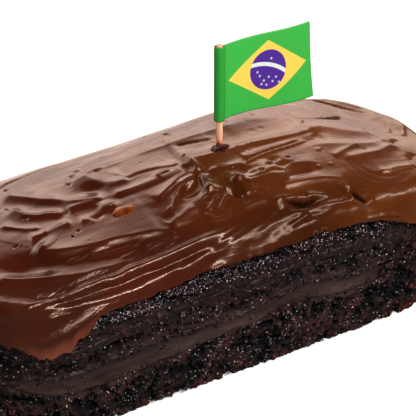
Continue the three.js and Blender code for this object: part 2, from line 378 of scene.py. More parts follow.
crumbLook = {
    # painted shade and light: the crumb's hollows are painted black and its lumps painted lighter than the
    # layer's tone
    "paintedShadeAt": 0.46, "toneAt": 0.6, "lumpAt": 0.82, "paintedLightOnLumps": 2.4,  # black, the layer's tone, its lumps
    "rusty": [(0.40, (2, 0, 0)), (0.58, (32, 7, 3)), (0.82, (88, 34, 19))],
    "smeared": [(0.35, (17, 7, 7)), (0.65, (46, 27, 24))],
    "creamy": [(0.35, (22, 13, 12)), (0.65, (60, 42, 36))],
    # painted glints: pale specks in the base colour, standing in for wet crumbs catching the light
    "paintedGlintColour": (206, 190, 194), "paintedGlintsPerMetre": 2100,
    "roughness": 0.5, "specular": 0.12,
}


def crumbMaterial(name, tone):
    # moist dark sponge with painted shade, black in its hollows, and painted light on its brown lumps, rusty
    # where it has browned, dragged smooth or covered with cream where the knife passed, and painted glints:
    # pale specks in clusters where it is wet
    material, tree, shader = newMaterial(name)
    depth, baked, paintedWetGlints, smeared, creamy = attributeNodes(tree, "lift", "baked", "paintedWetGlints", "smeared", "creamy")
    # painted shade and light: the colour follows the relief's depth, black in the hollows and lighter on the
    # lumps
    grain = mathNode(tree, "ADD", noiseNode(tree, 1000, 3, 0.7), depth)
    lumps = [c * crumbLook["paintedLightOnLumps"] for c in tone]
    paintedShade = colourRamp(tree, grain, [(crumbLook["paintedShadeAt"], (0, 0, 0)), (crumbLook["toneAt"], tone),
                                    (crumbLook["lumpAt"], lumps)])
    colour = mixNode(tree, baked, paintedShade, colourRamp(tree, grain, crumbLook["rusty"]))
    streaks = noiseNode(tree, 420, 3, 0.6, (0.4, 0.4, 1.6))
    colour = mixNode(tree, smeared, colour, colourRamp(tree, streaks, crumbLook["smeared"]))
    streaks = noiseNode(tree, 300, 4, 0.6, (0.5, 0.5, 1.6))
    colour = mixNode(tree, creamy, colour, colourRamp(tree, streaks, crumbLook["creamy"]))
    # painted glints: clusters of pale specks mixed into the colour, thickest where the crumb is wet
    clusters = rangeNode(tree, noiseNode(tree, 420, 2, 0.5), 0.35, 0.62, 0.2, 1.5)
    paintedGlints = speckNode(tree, crumbLook["paintedGlintsPerMetre"], mathNode(tree, "MULTIPLY", paintedWetGlints, clusters))
    setInputs(tree, shader, {
        "Base Color": mixNode(tree, paintedGlints, colour, crumbLook["paintedGlintColour"]),
        "Roughness": crumbLook["roughness"],
        "Specular IOR Level": crumbLook["specular"],
        "Normal": bumpNode(tree, noiseNode(tree, 1500, 4, 0.7), 0.9, 0.0007),
    })
    return material


creamLook = {
    "clean": [(0.32, (29, 17, 15)), (0.7, (62, 43, 36))],
    "crumby": [(0.35, (5, 2, 2)), (0.7, (40, 26, 23))],
    "cover": (1.0, 1.4),  # where the crumb over it starts and is full
    "roughness": 0.5, "specular": 0.2,
}


def creamMaterial():
    # smooth chocolate cream, grey brown and satin, with crumb smeared over it towards its upper edge
    material, tree, shader = newMaterial("creamFilling")
    height, = attributeNodes(tree, "upLayer")
    streaks = noiseNode(tree, 130, 5, 0.65, (0.5, 0.5, 2))
    clean = colourRamp(tree, streaks, creamLook["clean"])
    crumby = colourRamp(tree, noiseNode(tree, 700, 4, 0.7), creamLook["crumby"])
    cover = rangeNode(tree, mathNode(tree, "ADD", height, streaks), *creamLook["cover"])
    setInputs(tree, shader, {
        "Base Color": mixNode(tree, cover, clean, crumby),
        "Roughness": creamLook["roughness"],
        "Specular IOR Level": creamLook["specular"],
        "Normal": bumpNode(tree, noiseNode(tree, 420, 5, 0.65, (0.6, 0.6, 1.5)), 0.5, 0.0006),
    })
    return material


icingLook = {
    "left": [(0.3, (44, 9, 1)), (0.7, (61, 17, 3))], "right": [(0.3, (64, 24, 1)), (0.7, (86, 40, 5))],
    "leftEnds": -0.03, "rightStarts": 0.05,  # metres along X
    # painted shade: the hollow colours darken the icing in its clefts, at the front's rim right of the middle
    # and at the far part of the right end
    "thin": (98, 48, 30), "hollow": [(0.6, (40, 13, 5)), (0.9, (22, 6, 2))], "paintedShadeShare": 0.6,
    "smoothest": 0.17, "roughest": 0.26, "rougherRight": 0.05, "smootherWrinkles": -0.02,
    "specular": 0.32, "shinierWrinkles": 0.4, "dullerHollows": -0.2, "mirrorTint": (1, 0.7, 0.52, 1),
    "threads": 0.45,
}


def icingMaterial():
    # glossy milk chocolate icing: redder and darker at the left, tawny at the right, lighter where it has run
    # thin, with painted shade and a duller shine in its clefts and along the right front, and fine threads on
    # the near left corner's ridges
    material, tree, shader = newMaterial("chocolateIcing")
    place = addNode(tree, "ShaderNodeSeparateXYZ", {"Vector": objectCoords(tree)})
    across = rangeNode(tree, place.outputs["X"], icingLook["leftEnds"], icingLook["rightStarts"])
    patches = noiseNode(tree, 45, 3, 0.5)
    left, right = (colourRamp(tree, patches, icingLook[end]) for end in ("left", "right"))
    thin, wrinkled, shadeAndDull, along, rising = attributeNodes(tree, "thin", "wrinkled", "shadeAndDull", "along", "rising")
    colour = mixNode(tree, thin, mixNode(tree, across, left, right), icingLook["thin"])
    # painted shade: the colour is drawn towards the hollow colours in the clefts and along the right front
    shadeShare = mathNode(tree, "MULTIPLY", shadeAndDull, icingLook["paintedShadeShare"])
    colour = mixNode(tree, shadeShare, colour, colourRamp(tree, shadeShare, icingLook["hollow"]))
    rough = noiseNode(tree, 160, 3, 0.6)
    rough = rangeNode(tree, rough, 0.3, 0.7, icingLook["smoothest"], icingLook["roughest"])
    rough = mathNode(tree, "MULTIPLY_ADD", across, icingLook["rougherRight"], rough)
    rough = mathNode(tree, "MULTIPLY_ADD", wrinkled, icingLook["smootherWrinkles"], rough)
    shiny = mathNode(tree, "MULTIPLY_ADD", wrinkled, icingLook["shinierWrinkles"], icingLook["specular"])
    shiny = mathNode(tree, "MULTIPLY_ADD", shadeAndDull, icingLook["dullerHollows"], shiny)
    fine = bumpNode(tree, noiseNode(tree, 500, 3, 0.5, (0.25, 1, 1)), 0.18, 0.0005)
    run = addNode(tree, "ShaderNodeCombineXYZ", {"X": along, "Y": rising}).outputs["Vector"]
    threads = noiseNode(tree, 1.0, 4, 0.6, (0.14, 1.5, 1), run)
    deep = mathNode(tree, "MULTIPLY", wrinkled, icingLook["threads"])
    setInputs(tree, shader, {
        "Base Color": colour,
        "Roughness": rough,
        "Specular IOR Level": shiny,
        "Specular Tint": icingLook["mirrorTint"],
        "Normal": bumpNode(tree, threads, deep, 0.0004, fine),
    })
    return material


# Sponge layers

crumbForm = {
    "columns": 1240,
    # size and height of each kind of unevenness
    "lumps": (4.2, 0.42), "grains": (1.3, 0.30), "fine": (0.6, 0.16), "pores": (1.9, 0.7),
    "hollows": (2.7, 1.7),
    "poreShare": 0.42, "poreRadius": 0.52, "hollowFrom": 0.12, "hollowFull": 0.5,
    # where the knife has passed: middle and reach above a filling, and the share of the relief it takes away
    "smearUpper": (1.2, 2.2), "smearLower": (0.6, 1.2), "lowerShare": 0.55, "smoothed": 0.85,
    "creamFrom": 0.3, "creamAbove": 1.5, "creamBelow": 1.3,
    "tuckedIn": 1.6,  # last ring of the underside, inside the wall
}


def crumbRelief(p, seed, smeared):
    # rounded lumps and grains of noise, less round pores in a share of the cells, and hollows where a noise
    # is high; in millimetres, and fainter where the knife has smeared the crumb
    (lumpSize, lumpHeight), (grainSize, grainHeight) = crumbForm["lumps"], crumbForm["grains"]
    (fineSize, fineHeight), (poreSize, poreDepth) = crumbForm["fine"], crumbForm["pores"]
    hollowSize, hollowDepth = crumbForm["hollows"]
    lumps = lumpHeight * smoothNoise(p, lumpSize, seed)
    grains = grainHeight * (1 - 2 * np.abs(smoothNoise(p, grainSize, seed + 1)))
    fine = fineHeight * smoothNoise(p, fineSize, seed + 2)
    away, mark = nearestCell(p, poreSize, seed + 3)
    bowl = np.sqrt(np.clip(1 - (away / crumbForm["poreRadius"]) ** 2, 0, 1))
    pore = (mark < crumbForm["poreShare"]) * bowl
    broken = smoothNoise(p * (0.7, 0.7, 1), hollowSize, seed + 6)
    broken = broken + 0.6 * smoothNoise(p, hollowSize * 0.4, seed + 7)
    hollow = hollowDepth * ramp(broken, crumbForm["hollowFrom"], crumbForm["hollowFull"])
    return lumps + (grains + fine - poreDepth * pore - hollow) * (1 - crumbForm["smoothed"] * smeared)


def smearBand(x, z):
    # soft band where the knife dragged crumb across the upper filling, and along the top of the lower one
    (up, reach), (upLower, reachLower) = crumbForm["smearUpper"], crumbForm["smearLower"]
    upper = bell(z - fillingFace(upperFilling, x, 0) - up, reach)
    lower = bell(z - fillingFace(lowerFilling, x, 1) - upLower, reachLower)
    return np.maximum(upper, crumbForm["lowerShare"] * lower)


def creamEdge(points, s):
    # cream dragged over the crumb along both edges of the lower filling, in patches of noise
    x, z = points[..., 0], points[..., 2]
    above, below = z - fillingFace(lowerFilling, x, 1), fillingFace(lowerFilling, x, -1) - z
    patches = np.clip(0.75 + 1.4 * smoothNoise(points * (0.4, 0.4, 1), 1.8, 91), 0, 1)
    near = np.maximum(bell(above - crumbForm["creamFrom"], crumbForm["creamAbove"]),
                      bell(below - crumbForm["creamFrom"], crumbForm["creamBelow"]))
    return near * patches * shownShare(lowerFilling, s)


def wallOffset(z):
    # crumb spreads a little at the foot, and its lowest edge is rounded in
    spread = cake["footSpread"] * np.maximum(0, 1 - z / cake["footHeight"])
    return spread - cake["baseInset"] * np.maximum(0, 1 - z / cake["baseRounding"]) ** 2


def brownedEnd(s, z):
    # 1 on the right end's wall below the icing, fading out along both long sides and upwards
    return ramp(around(s, 0), 62, 40) * ramp(z, 30, 20)


def browned(points, s):
    # the right end, a faint line along the foot, and the left end low down, in patches of noise
    z = points[..., 2]
    share = brownedEnd(s, z) + 0.12 * ramp(z, 6, 0) + 0.4 * ramp(around(s, 215), 40, 10) * ramp(z, 14, 4)
    return np.clip(share + 0.3 * smoothNoise(points, 6, 77) * (share > 0.02), 0, 1)


def paintedGlintShare(points, s, smeared):
    # share of painted glints: moist patches all over and a wet band close under the icing, wettest at the
    # front, less where smeared
    patchy = ramp(smoothNoise(points, 3.5, 88), -0.5, 0.5)
    underIcing = ramp(points[..., 2], 30, 34) * (0.5 + 0.4 * bell(around(s, 272), 30))
    return (0.08 + 0.18 * patchy + underIcing) * (1 - 0.8 * smeared)


def spongeLayer(name, node, form):
    # rings from the middle of the underside, out to the wall, up it and back over the top
    outline = loafOutline(crumbForm["columns"])
    x, s = outline["x"], outline["s"]
    low, high = form["lowWall"](x, s), form["highWall"](x, s)
    rings = [capRing(outline, share, 0, form["under"]) for share in (0.03, 0.35, 0.7, 0.94)]
    rings.append(wallRing(outline, form["under"](x, 0, 0), -crumbForm["tuckedIn"]))
    wallStart = len(rings)
    for share in np.linspace(0, 1, form["rows"]):
        z = low + (high - low) * share
        rings.append(wallRing(outline, z, wallOffset(z)))
    wall, wallAndTuck = slice(wallStart, len(rings)), slice(wallStart - 1, len(rings))
    rings += [capRing(outline, share, 0, form["over"]) for share in form["topShares"]]
    points = np.array(rings)

    smeared = smearBand(points[..., 0], points[..., 2])
    smeared = np.clip(smeared + 0.35 * smoothNoise(points, 2.6, 15) * (smeared > 0.05), 0, 1)
    creamy = creamEdge(points, s)
    smeared = np.maximum(smeared, 0.7 * creamy)
    lift = np.zeros(points.shape[:2])
    lift[wallAndTuck] = crumbRelief(points[wallAndTuck], form["seed"], smeared[wallAndTuck])
    lift[wallStart - 1] *= 0.3
    points[..., 0] += lift * outline["outX"]
    points[..., 1] += lift * outline["outY"]
    shift = 0.5 * smoothNoise(points[wall] + 40, 1.6, form["seed"] + 9)
    points[wall, :, 2] += shift * ramp(points[wall, :, 2], 0.0, 3.0)  # the lowest edge stays on the floor
    points[..., 2] = np.maximum(points[..., 2], 0)
    piece = makeMesh(name, points, ringFaces(len(rings), crumbForm["columns"]), form["material"])
    # the relief's depth, which the crumb's material paints as shade in the hollows and light on the lumps
    addNumbers(piece, "lift", np.clip(0.08 + 0.35 * lift, -0.4, 0.4))
    addNumbers(piece, "smeared", smeared)
    addNumbers(piece, "creamy", creamy)
    addNumbers(piece, "baked", browned(points, s))
    # the share of painted glints, pale specks in the crumb's colour
    addNumbers(piece, "paintedWetGlints", paintedGlintShare(points, s, smeared))
    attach(piece, "root")
    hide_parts(node)


def closedOver(filling, x, s, side, other):
    # the layer's wall edge: its own face where the cream shows, torn a little, and past the cream where the
    # crumb closes over it
    shown = shownShare(filling, s)
    own, far = fillingFace(filling, x, side), fillingFace(filling, x, other)
    seed = filling["seed"]
    torn = 1.1 * noiseAlong(s, 2.2, seed + 2, side) + 0.7 * noiseAlong(s, 0.9, seed + 3, side) + 0.5
    return own * shown + far * (1 - shown) - side * torn * shown


seam = 0.05  # clear space between a layer and the cream next to it
layers = {
    "lowerSponge": {
        "node": "lower_layer", "rows": 46, "seed": 3,
        "lowWall": lambda x, s: 0 * x,
        "highWall": lambda x, s: closedOver(lowerFilling, x, s, -1, 1) - seam,
        "under": lambda x, y, inward: 0 * x,
        "over": lambda x, y, inward: fillingFace(lowerFilling, x, -1) - seam,
        "topShares": [0.955, 0.95, 0.5, 0.03],
        "tone": (25, 12, 11),
    },
    "middleSponge": {
        "node": "middle_layer", "rows": 24, "seed": 13,
        "lowWall": lambda x, s: closedOver(lowerFilling, x, s, 1, 1) + seam,
        "highWall": lambda x, s: closedOver(upperFilling, x, s, -1, 1) - seam,
        "under": lambda x, y, inward: fillingFace(lowerFilling, x, 1) + seam,
        "over": lambda x, y, inward: fillingFace(upperFilling, x, -1) - seam,
        "topShares": [0.955, 0.95, 0.5, 0.03],
        "tone": (21, 11, 11),
    },
    "upperSponge": {
        "node": "upper_layer", "rows": 32, "seed": 23,
        "lowWall": lambda x, s: closedOver(upperFilling, x, s, 1, 1) + seam,
        "highWall": lambda x, s: cake["wallTop"] + 0 * x,
        "under": lambda x, y, inward: fillingFace(upperFilling, x, 1) + seam,
        "over": spongeTop,
        "topShares": [0.995, 0.985, 0.97, 0.95, 0.92, 0.85, 0.65, 0.4, 0.03],
        "tone": (22, 10, 11),
    },
}
for name, form in layers.items():
    form["material"] = crumbMaterial(name, form["tone"])
    spongeLayer(name, form["node"], form)
print("sponge layers made")


# Cream fillings

creamForm = {"columns": 800, "belly": 0.3, "closed": 1.7, "slowWave": 0.3, "fineWave": 0.12}


def creamLayer(name, node, filling, form, material):
    # smooth wall with a slight belly and a slow wave, drawn in behind the crumb where it doesn't show
    outline = loafOutline(creamForm["columns"])
    x, s, seed = outline["x"], outline["s"], filling["seed"]
    shown = shownShare(filling, s)
    under = lambda px, y, inward: fillingFace(filling, px, -1) + seam
    over = lambda px, y, inward: fillingFace(filling, px, 1) - seam
    rings = [capRing(outline, share, 0, under) for share in (0.03, 0.5)]
    for share in np.linspace(0, 1, form["rows"]):
        z = under(x, 0, 0) + (over(x, 0, 0) - under(x, 0, 0)) * share
        belly = creamForm["belly"] * (1 - (2 * share - 1) ** 4) - form["sunk"]
        ring = wallRing(outline, z, wallOffset(z) + belly - creamForm["closed"] * (1 - shown))
        wave = (creamForm["slowWave"] * smoothNoise(ring, 7, seed)
                + creamForm["fineWave"] * smoothNoise(ring * (1, 1, 2), 2.2, seed + 1))
        ring[:, 0] += outline["outX"] * wave
        ring[:, 1] += outline["outY"] * wave
        rings.append(ring)
    rings += [capRing(outline, share, 0, over) for share in (0.5, 0.03)]
    points = np.array(rings)
    piece = makeMesh(name, points, ringFaces(len(rings), creamForm["columns"]), material)
    middle, half = fillingFace(filling, points[..., 0], 0), 0.5 * filling["thick"]
    addNumbers(piece, "upLayer", np.clip(0.5 + (points[..., 2] - middle) / (2 * half), 0, 1) + form["cover"])
    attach(piece, "root")
    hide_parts(node)


cream = creamMaterial()
creamLayer("lowerCream", "lower_filling", lowerFilling, {"rows": 18, "sunk": 0.5, "cover": 0.0}, cream)
creamLayer("upperCream", "upper_filling", upperFilling, {"rows": 9, "sunk": 0.25, "cover": 0.5}, cream)
print("cream fillings made")


# Icing

rimDips = [
    (0, 26, 5.5), (38, 12, 3.5), (92, 9, 6), (146, 15, 2.5), (186, 10, 6), (230, 24, 10), (250, 9.5, 9),
    (276, 14, 2.2), (319, 12, 0.8), (382, 20, 10),
]

# Soft swells seen from above: middle x and y, half length, half breadth, turn in degrees, height
swells = [
    (33, 24, 20, 10, 0, 2.6), (69, 12, 11, 14, 0, -1.8), (-21, 25, 18, 4, 4, -0.5), (12, 1, 24, 9, 0, -1.9),
    (-64, -17, 6.5, 4.5, -40, -2.2), (-8, -14.5, 4.6, 2.6, 38, -1.7), (2.8, -21, 2.3, 1.0, -58, -2.8),
    (6, -18.6, 1.6, 1.3, 0, 1.4), (-37.5, -11, 2.6, 1.0, 10, -0.6), (20.6, -31.0, 4.2, 1.1, -8, -2.6),
    (22, -13, 1.7, 1.1, 0, -0.9), (23.4, -16.6, 2.3, 1.1, 0, -0.9), (-30.5, 2.6, 3.4, 2.4, -25, -0.9),
    (26, -21.6, 5, 1.3, 0, -0.7), (10, -15, 2.4, 1.2, 20, -0.8), (13.8, -29.2, 1.8, 1.3, 0, 0.9),
    (25.2, -30.5, 1.8, 0.8, -10, 0.5), (18.4, -34.7, 1.5, 1.1, 0, 0.7), (-9.5, -36.6, 1.4, 0.9, 0, 0.7),
    (31, 15, 12, 3.5, 0, 0.4), (48.5, 1.5, 5, 2.4, 10, 0.5), (79, 3, 6, 11, 12, 1.5),
]

# Strokes of the spatula seen from above, each from left to right: points (x, y), height at its start and
# end, how far it slopes away behind, and how far it drops in front at its start and end
strokes = [
    # smooth leaf left of the pick, with a thin crest behind it and a thin edge in front
    ([(-28.9, 11.5), (-29.3, 9.3), (-28.9, 6.5), (-27.5, 3.7), (-24.7, 1.2), (-22.4, 0.3), (-19, -0.1)],
     1.9, 0.9, 7, 5.5, 1.2),
    ([(-20, 1.2), (-18.8, 1.7), (-15.4, 1.9), (-10.3, 0.9), (-5.8, -0.9), (-1.9, -0.2)],
     0.45, 0.5, 5, 0.4, 0.4),
    ([(-30, 9.5), (-28.5, 12), (-25.5, 13.2), (-19, 11.9), (-8, 12.1), (4, 11.3), (15, 11.3), (22, 11.6)],
     0.3, 0.25, 1.2, 1.0, 1.0),
    ([(1.5, 8.9), (4.8, 8.2), (9.3, 7), (13.8, 6.5)], -0.8, -0.5, 0.5, 0.5, 0.45),
    # diagonal steps at the left end
    ([(-52, 19), (-50.8, 16.9), (-48.3, 12.7), (-44.9, 7.6), (-41.5, 3.7), (-39.3, 0.6), (-35.9, -1.3),
      (-32.6, -3), (-29.7, -4.2)], 1.6, 0.9, 4, 2.0, 1.3),
    ([(-54.5, 11), (-53.4, 7.1), (-52.2, 3.7), (-50.3, 1.3), (-47.5, -0.2), (-45.3, -2), (-44.2, -4)],
     1.3, 1.0, 2.5, 2.2, 1.4),
    ([(-60.4, 4.5), (-58.5, 1.8), (-56.4, -1.2), (-54, -4), (-52, -5.2)], 0.6, 0.5, 2, 0.8, 0.8),
    ([(-57, -7.4), (-55, -8), (-51, -8.3), (-47, -8.4), (-43.6, -9)], 1.0, 0.8, 3, 2.4, 1.8),
    ([(-42, -2), (-40, -2.3), (-36.5, -3.2), (-33.4, -4.6)], 1.2, 0.9, 1.6, 2.6, 1.8),
    ([(-42, -10), (-40, -10.6), (-38, -12)], 0.8, 0.6, 1.5, 2, 1.2),
    # broad smooth tongue, the furrow in front of it, and the ridges below
    ([(-58.5, -11.5), (-57, -14.5), (-56.4, -17), (-52.8, -19.3), (-48.3, -21), (-42.7, -22.1),
      (-37.1, -23), (-31.4, -24.4), (-25.8, -25.5), (-21, -25.8)], 2.7, 1.5, 9, 2.0, 1.3),
    ([(-54, -22.8), (-50, -23.3), (-46, -23.2), (-43, -23.3), (-40, -24.2)], 0.7, 0.5, 0.6, 0.7, 0.6),
    ([(-48, -24.2), (-45, -25), (-42, -25.6), (-38, -26.2), (-35, -26.3), (-31.5, -26)],
     0.9, 0.6, 0.6, 0.9, 0.7),
    ([(-39.5, -28.9), (-37, -28.6), (-34.2, -28)], 0.5, 0.4, 0.4, 0.6, 0.5),
    ([(-72.5, -15.5), (-70.8, -19.3), (-66.3, -22.7), (-59.5, -26.6), (-52.8, -28.9), (-46, -30),
      (-40.4, -30.6), (-35.4, -30)], 1.6, 0.8, 2.6, 3.2, 1.6),
    ([(-33, -29.3), (-28, -28.6), (-24, -28.8), (-20, -27.5)], 0.8, 0.6, 1.6, 0.9, 0.8),
    ([(-31.4, -30.6), (-27, -30.4), (-22.4, -29.6)], 0.5, 0.4, 0.5, 0.5, 0.5),
    ([(-68, -27.5), (-62, -30), (-56, -31.5), (-50, -32)], 0.4, 0.4, 0.5, 0.6, 0.6),
    ([(-14.8, -33.4), (-8, -32.2), (-2, -30.9), (4.8, -29.4)], 0.5, 0.3, 0.9, 0.9, 0.8),
    ([(-12, -34.6), (-5, -33.2), (2, -31.4), (7, -29.8)], 0.35, 0.2, 0.6, 0.6, 0.6),
    ([(-8, -35.4), (0, -33.8), (8, -31.8), (12, -30)], 0.35, 0.25, 0.8, 0.9, 0.9),
    ([(-4, -36), (4, -34.6), (12, -33.2), (20, -33)], 0.3, 0.25, 0.7, 0.8, 0.8),
    # the torn swirl in the middle
    ([(-13.4, -4.4), (-11.8, -3.4), (-10, -3), (-7.6, -3.4)], 0.9, 0.8, 1.2, 0.8, 0.8),
    ([(-28, -4.6), (-24.4, -5), (-16, -5.6), (-8.7, -5.6), (-4, -4.6)], 0.9, 1.0, 3, 0.8, 0.9),
    ([(-18.8, -14.3), (-16, -12.6), (-11.5, -10.6), (-7.5, -9.2), (-1.9, -9.2)], 0.9, 1.7, 2.2, 0.8, 0.9),
    ([(-14.3, -17.6), (-12.6, -15.4), (-10.3, -13.1), (-7.5, -11.5), (-3.6, -10.6)],
     0.9, 1.1, 0.6, 0.7, 0.7),
    ([(-17, -19), (-14.6, -16.6), (-12, -14), (-9, -12)], 0.6, 0.7, 0.45, 0.5, 0.5),
    ([(-1.9, -10.3), (-3, -13.7), (-3.6, -16.5), (-2.5, -18.2), (-0.8, -19.3)], 1.7, 1.0, 1.5, 0.7, 0.7),
    ([(-8.7, -24.9), (-9.2, -26.6), (-7.5, -27.8), (-4.7, -27.8), (-1.3, -26)], 0.7, 0.5, 0.9, 1.0, 1.0),
    ([(-8.5, -24.6), (-5, -22.2), (-2, -20)], 0.8, 0.6, 0.5, 0.5, 0.5),
    ([(-5.5, -26), (-2.5, -23.4), (0, -21.4)], 0.8, 0.6, 0.4, 0.45, 0.45),
    ([(-11.5, -21.2), (-8, -20), (-4.5, -18.4), (-2.4, -16.8)], 0.8, 0.7, 0.6, 0.6, 0.6),
    ([(4.4, -17.4), (5.4, -19.4), (5.8, -21.6), (5.1, -24.4)], 1.9, 0.9, 3.0, 0.6, 0.6),
    ([(6, -20.4), (11.6, -20.3), (17.8, -20.1), (22.5, -21)], 1.3, 0.8, 1.1, 4.5, 2.4),
    ([(-21.6, -24.9), (-17.1, -23.8), (-13.1, -22.7), (-10.3, -23)], 1.4, 1.6, 1.0, 2.0, 2.2),
    ([(-4.5, -2.6), (-2.4, -4.5), (-1.6, -7.5), (-2, -9.6)], 1.1, 1.5, 1.0, 0.9, 0.9),
    ([(1.5, -27.6), (3.7, -27), (7.6, -26.8), (10.4, -27.6)], 0.6, 0.5, 1.0, 1.0, 1.0),
    ([(11.5, -29), (14, -28.2), (17, -28.5), (20, -29.2)], 0.8, 0.5, 1.2, 1.1, 1.0),
    # terrace edge right of the pick, its second crest, and strands and clods in front of them
    ([(-3, -3.2), (-0.2, -3.6), (3.7, -4.2), (9.3, -4.5), (13.5, -4.3), (17.5, -3.4)],
     3.2, 1.9, 8, 4.8, 2.4),
    ([(14, -4.2), (18.9, -3), (22.8, -2.5), (31.8, -3), (39.7, -2.4), (46, -1.2)], 1.9, 1.3, 6, 1.8, 1.5),
    ([(42, -1.2), (46, -0.8), (50, -1.2), (53.5, -3), (57, -4.8), (60, -6.2), (66, -7.4)],
     1.8, 0.9, 4, 4.4, 3),
    ([(14, -10), (16, -9.5), (23.4, -8.1), (31.8, -7), (39.7, -5.4), (45, -3.6)], 1.1, 0.7, 2.4, 0.6, 0.5),
    ([(10.4, -13.1), (17.8, -10.6), (26.2, -9.2), (31.8, -8.4), (40, -6.4)], 0.8, 0.5, 0.5, 0.5, 0.5),
    ([(1, -10.6), (6, -11.4), (13, -11.8)], 0.8, 0.6, 1.0, 0.9, 0.8),
    ([(11, -19.4), (17, -17.8), (22, -17), (29, -17.4), (36, -19)], 0.7, 0.5, 2, 1.0, 1.4),
    ([(17, -25.4), (20, -24.9), (29, -25.2), (34.6, -26.4), (40, -28.9)], 1.1, 0.7, 2.5, 1.2, 1.2),
    ([(22.6, -29.6), (24.6, -30), (27, -30.7), (30, -31.2)], 1.0, 0.6, 1.2, 0.7, 0.6),
    ([(34.9, -28.6), (35.4, -30.4), (35.8, -32.4), (36.2, -34.4)], 1.5, 1.0, 0.7, 0.7, 0.7),
    ([(36.6, -29.6), (37.2, -31.6), (38.2, -33.6), (39.6, -35), (41.2, -36)], -1.9, -1.2, 0.9, 0.9, 0.9),
    ([(13, -33.6), (21, -33.6), (29, -34), (34, -35)], 0.7, 0.6, 0.9, 0.8, 0.8),
    # smooth slopes at the right
    ([(18, 11), (28, 11.5), (38, 11.2), (48, 10.4)], 0.7, 0.6, 4, 6, 6),
    ([(38, -9.7), (45, -10.8), (52, -12.3), (57, -13.1), (60, -13.2), (63, -12.3), (66, -10.7)],
     0.5, 0.45, 2.5, 2.0, 2.0),
    ([(41, -17.5), (45, -15.8), (50, -14), (54, -13.2)], 0.6, 0.5, 1.5, 1.5, 1.4),
    ([(43, -19.3), (50, -18.6), (57, -18.2), (62, -16.6), (66, -14.8)], 0.8, 0.5, 2.2, 2.6, 2.2),
    ([(50.5, -27.2), (54, -27.9), (58, -27.6), (61, -27.7), (65, -28)], 1.0, 0.7, 1.6, 0.5, 0.5),
    ([(70.5, -7), (74, -2), (77, 3.5)], 0.4, 0.3, 0.8, 0.8, 0.8),
    ([(74, -10), (77, -6), (79.5, -2)], 0.4, 0.3, 0.8, 0.8, 0.8),
    ([(66.6, -14.4), (68, -13), (69.6, -11.8)], -0.8, -0.5, 0.7, 0.7, 0.7),
    ([(66, -24.5), (67.5, -22.6), (69, -21.4)], -1.0, -0.7, 0.9, 0.9, 0.9),
    ([(45, 9.2), (50, 8.9), (55, 9.2), (60, 9.8), (63, 10.6), (66.5, 12.2)], -0.3, -1.0, 0.8, 0.8, 0.9),
    ([(66.5, 29.5), (68.2, 25.5), (71, 20.5), (74, 15), (76, 11)], -1.4, -0.2, 0.45, 0.5, 0.3),
    ([(69.5, 30), (72.8, 25.6), (76, 20), (78.5, 14)], 0.4, 0.3, 1.6, 1.0, 1.0),
    # turned lip along the far rim
    ([(-55, 21), (-49, 27), (-41, 29.4), (-33, 30.2), (-25, 30)], 0.8, 0.4, 3, 0.8, 0.8),
]

# Strokes round the side and shoulder, given in the same way, but with points (distance round the outline,
# height above the wall's top, or the way inward from there on top)
sideStrokes = [
    ([(222, -19.5), (230, -16), (237, -12.5), (243, -9), (247, -8.2), (252, -6.3), (256, -4.6),
      (260, -2.2), (264, -0.7), (268, -0.3), (273, 0), (280, 0.4), (290, 1)], 1.6, 1.2, 1.5, 1.3, 1.0),
    ([(240, -12.4), (246, -9.8), (251, -7.6), (256, -5.6), (261, -3.4)], 0.5, 0.5, 0.4, 0.45, 0.45),
    ([(258, -3.8), (262, -1.8), (266, -1.0), (272, -0.8)], 0.4, 0.4, 0.35, 0.4, 0.4),
    ([(230, -1.6), (235, -0.8), (241, -0.2)], 0.6, 0.5, 0.6, 0.7, 0.7),
    ([(236, 1), (245, 1.6), (252, 2.8), (258, 4), (264, 4.1), (270, 3.4), (276, 3.9), (282, 3.9),
      (290, 4.4), (300, 5), (308, 5.8)], 1.7, 1.5, 1.2, 1.05, 1.0),
    ([(246, 0.2), (252, 1.0), (258, 1.9), (264, 2.0), (270, 1.7), (277, 2.2), (284, 2.4), (292, 2.8),
      (301, 3.4)], -1.0, -1.0, 0.9, 1.0, 0.9),
    ([(258, 3.4), (264, 3.3), (270, 2.6), (276, 3.1), (284, 3.2), (292, 3.8), (300, 4.3)],
     0.5, 0.5, 0.35, 0.4, 0.4),
    ([(264, 2.7), (270, 2.0), (276, 2.4), (284, 2.6), (292, 3.1)], 0.4, 0.35, 0.3, 0.35, 0.35),
    ([(240, 6.4), (252, 7.2), (262, 7.6), (271, 6.8)], 0.4, 0.3, 0.8, 0.8, 0.8),
    ([(228, -3.5), (234, -2.2), (240, -0.6), (246, 0.5)], 0.7, 0.6, 0.9, 0.9, 0.9),
    ([(219.2, -26), (229, -21), (237, -16.6), (244, -12.4), (250, -9.6)], 0.5, 0.5, 1.1, 1.1, 1.0),
    ([(214, -12), (224, -9), (232, -6), (240, -3.6)], 0.5, 0.4, 1.4, 1.2, 1.2),
    ([(285.2, 1.4), (291.2, 0.9), (297.2, 1.8), (303.2, 1.2)], 0.7, 0.5, 0.8, 1.0, 0.9),
    ([(303, 0.2), (312, -0.3), (320, 0.2), (330, 0.8), (339, 1.2)], 0.5, 0.5, 0.6, 0.6, 0.6),
    ([(326, 1.8), (332, 2.4), (338, 2.2), (344, 2.8)], 0.6, 0.5, 0.5, 0.5, 0.5),
    ([(336, 4.4), (345, 3.6), (353, 2.4), (358, 1.2)], 0.6, 0.6, 0.8, 0.8, 0.7),
    ([(352, -0.4), (358, -1.0), (363, -2.2), (367, -4)], 0.8, 0.8, 0.6, 0.6, 0.6),
]
# Soft hollows there: distance round, height as above, half length, half breadth, depth
sideSwells = [(246, 4.2, 19, 4.2, -1.9), (301, 0.8, 3.4, 1.6, -1.2), (252, 1.8, 9, 0.8, -0.5)]

